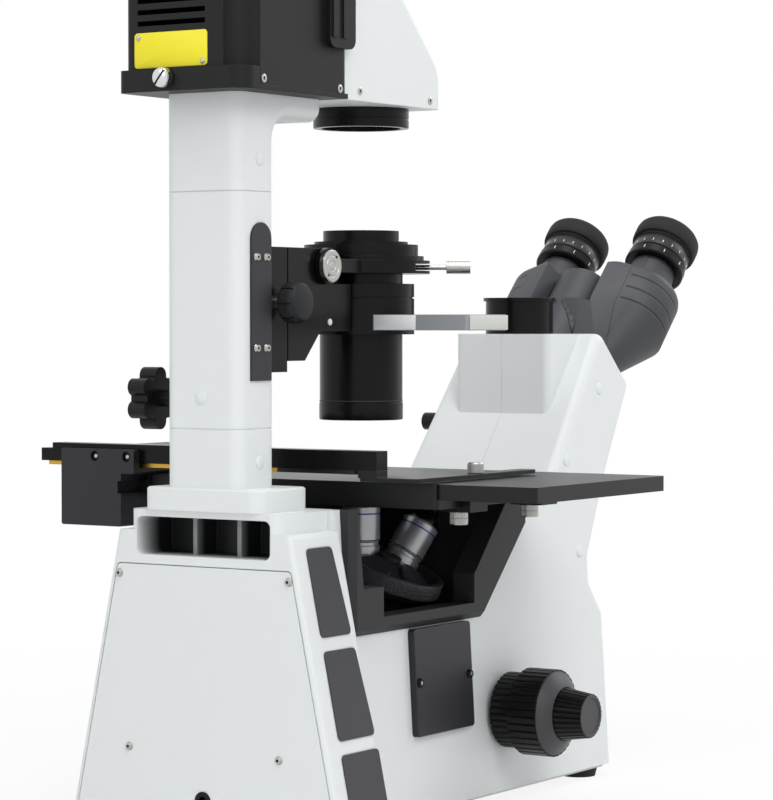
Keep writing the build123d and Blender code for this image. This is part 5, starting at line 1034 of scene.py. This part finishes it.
def make_floor():
    """White floor that keeps the shadow near the stand and fades into the background."""
    clear()
    bpy.ops.mesh.primitive_plane_add(size=FLOOR_SIZE, location=(0, 0, 0))
    floor = bpy.context.object
    floor.name = "studio_floor"
    # Matt painted board: even white without a highlight
    material = bpy.data.materials.new("white_studio_floor")
    material.use_nodes = True
    tree = material.node_tree
    shader = tree.nodes["Principled BSDF"]
    shader.inputs["Base Color"].default_value = linear("#f4f4f4")
    shader.inputs["Roughness"].default_value = 0.9
    path = add(tree, "ShaderNodeLightPath", {}).outputs
    seen = brightest(tree, path["Is Camera Ray"], path["Is Glossy Ray"])
    where = add(tree, "ShaderNodeTexCoord", {}).outputs["Object"]
    away = add(tree, "ShaderNodeVectorMath", {0: where}, operation="LENGTH").outputs["Value"]
    fade = add(tree, "ShaderNodeMapRange", {
        "Value": away, "From Min": FLOOR_NEAR, "From Max": FLOOR_FAR,
        "To Min": FLOOR_NEAR_WHITE, "To Max": FLOOR_FAR_WHITE}).outputs["Result"]
    share = add(tree, "ShaderNodeMath", {0: seen, 1: fade}, operation="MULTIPLY").outputs[0]
    glow = add(tree, "ShaderNodeEmission", {"Color": linear("#ffffff"), "Strength": 1.0}).outputs["Emission"]
    mix = add(tree, "ShaderNodeMixShader", {"Fac": share, 1: shader.outputs["BSDF"], 2: glow})
    tree.links.new(mix.outputs["Shader"], tree.nodes["Material Output"].inputs["Surface"])
    floor.data.materials.append(material)


def make_world(scene):
    """Soft light from all round, white where it is seen, mirrored or looked at through glass."""
    world = bpy.data.worlds.new("studio")
    scene.world = world
    world.use_nodes = True
    tree = world.node_tree
    tree.nodes.clear()
    path = add(tree, "ShaderNodeLightPath", {}).outputs
    seen = brightest(tree, path["Is Camera Ray"], path["Is Transmission Ray"], path["Is Glossy Ray"])
    white = add(tree, "ShaderNodeBackground", {"Color": linear("#ffffff"), "Strength": 1.0}).outputs[0]
    soft = add(tree, "ShaderNodeBackground", {"Color": linear("#f4f6f8"), "Strength": WORLD_LIGHT})
    mix = add(tree, "ShaderNodeMixShader", {"Fac": seen, 1: soft.outputs[0], 2: white}).outputs[0]
    add(tree, "ShaderNodeOutputWorld", {"Surface": mix})


def place_in_studio(scene, name, data, place, direction):
    """Adds a lamp or a camera that looks along a direction."""
    item = bpy.data.objects.new(name, data)
    item.location = place
    item.rotation_euler = Vector(direction).to_track_quat("-Z", "Y").to_euler()
    scene.collection.objects.link(item)
    return item


class MICROSCOPE_OT_studio(bpy.types.Operator):
    """Floor, light and camera at the photograph's angle"""

    bl_idname = "microscope.studio"
    bl_label = "Studio"

    def execute(self, context):
        scene = context.scene
        scene.view_settings.view_transform = "Standard"
        make_floor()
        make_world(scene)
        for name, place, aim, width, power in SOFTBOXES:
            lamp = bpy.data.lights.new(name, "AREA")
            lamp.shape = "DISK"
            lamp.size = width
            lamp.energy = power
            place_in_studio(scene, name, lamp, place, Vector(aim) - Vector(place))
        camera = bpy.data.cameras.new("photo_camera")
        camera.lens = CAMERA_LENS
        camera.sensor_width = CAMERA_SENSOR
        scene.camera = place_in_studio(scene, "photo_camera", camera, CAMERA_PLACE, CAMERA_DIRECTION)
        return {"FINISHED"}


STEPS = [
    MICROSCOPE_OT_castings, MICROSCOPE_OT_lamp, MICROSCOPE_OT_plugs, MICROSCOPE_OT_condenser,
    MICROSCOPE_OT_nosepiece, MICROSCOPE_OT_focus, MICROSCOPE_OT_stage_fittings, MICROSCOPE_OT_arms,
    MICROSCOPE_OT_head, MICROSCOPE_OT_tower, MICROSCOPE_OT_studio,
]


class MICROSCOPE_PT_steps(bpy.types.Panel):
    """Steps that dress the microscope, with the sizes and colours they use"""

    bl_idname = "MICROSCOPE_PT_steps"
    bl_label = "Microscope"
    bl_space_type = "VIEW_3D"
    bl_region_type = "UI"
    bl_category = "Microscope"

    def draw(self, context):
        for step in STEPS:
            self.layout.operator(step.bl_idname)
        for group in (colours(), sizes()):
            for key in group.__annotations__:
                self.layout.prop(group, key)


CLASSES = [MicroscopeColours, MicroscopeSizes] + STEPS + [MICROSCOPE_PT_steps]


def register():
    for cls in CLASSES:
        bpy.utils.register_class(cls)
    bpy.types.Scene.microscope_colours = PointerProperty(type=MicroscopeColours)
    bpy.types.Scene.microscope_sizes = PointerProperty(type=MicroscopeSizes)


def unregister():
    del bpy.types.Scene.microscope_sizes
    del bpy.types.Scene.microscope_colours
    for cls in reversed(CLASSES):
        bpy.utils.unregister_class(cls)


def main():
    register()
    bpy.ops.microscope.castings()
    bpy.ops.microscope.lamp()
    bpy.ops.microscope.plugs()
    bpy.ops.microscope.condenser()
    bpy.ops.microscope.nosepiece()
    bpy.ops.microscope.focus()
    bpy.ops.microscope.stage_fittings()
    bpy.ops.microscope.arms()
    bpy.ops.microscope.head()
    bpy.ops.microscope.tower()
    bpy.ops.microscope.studio()


if __name__ == "__main__":
    main()
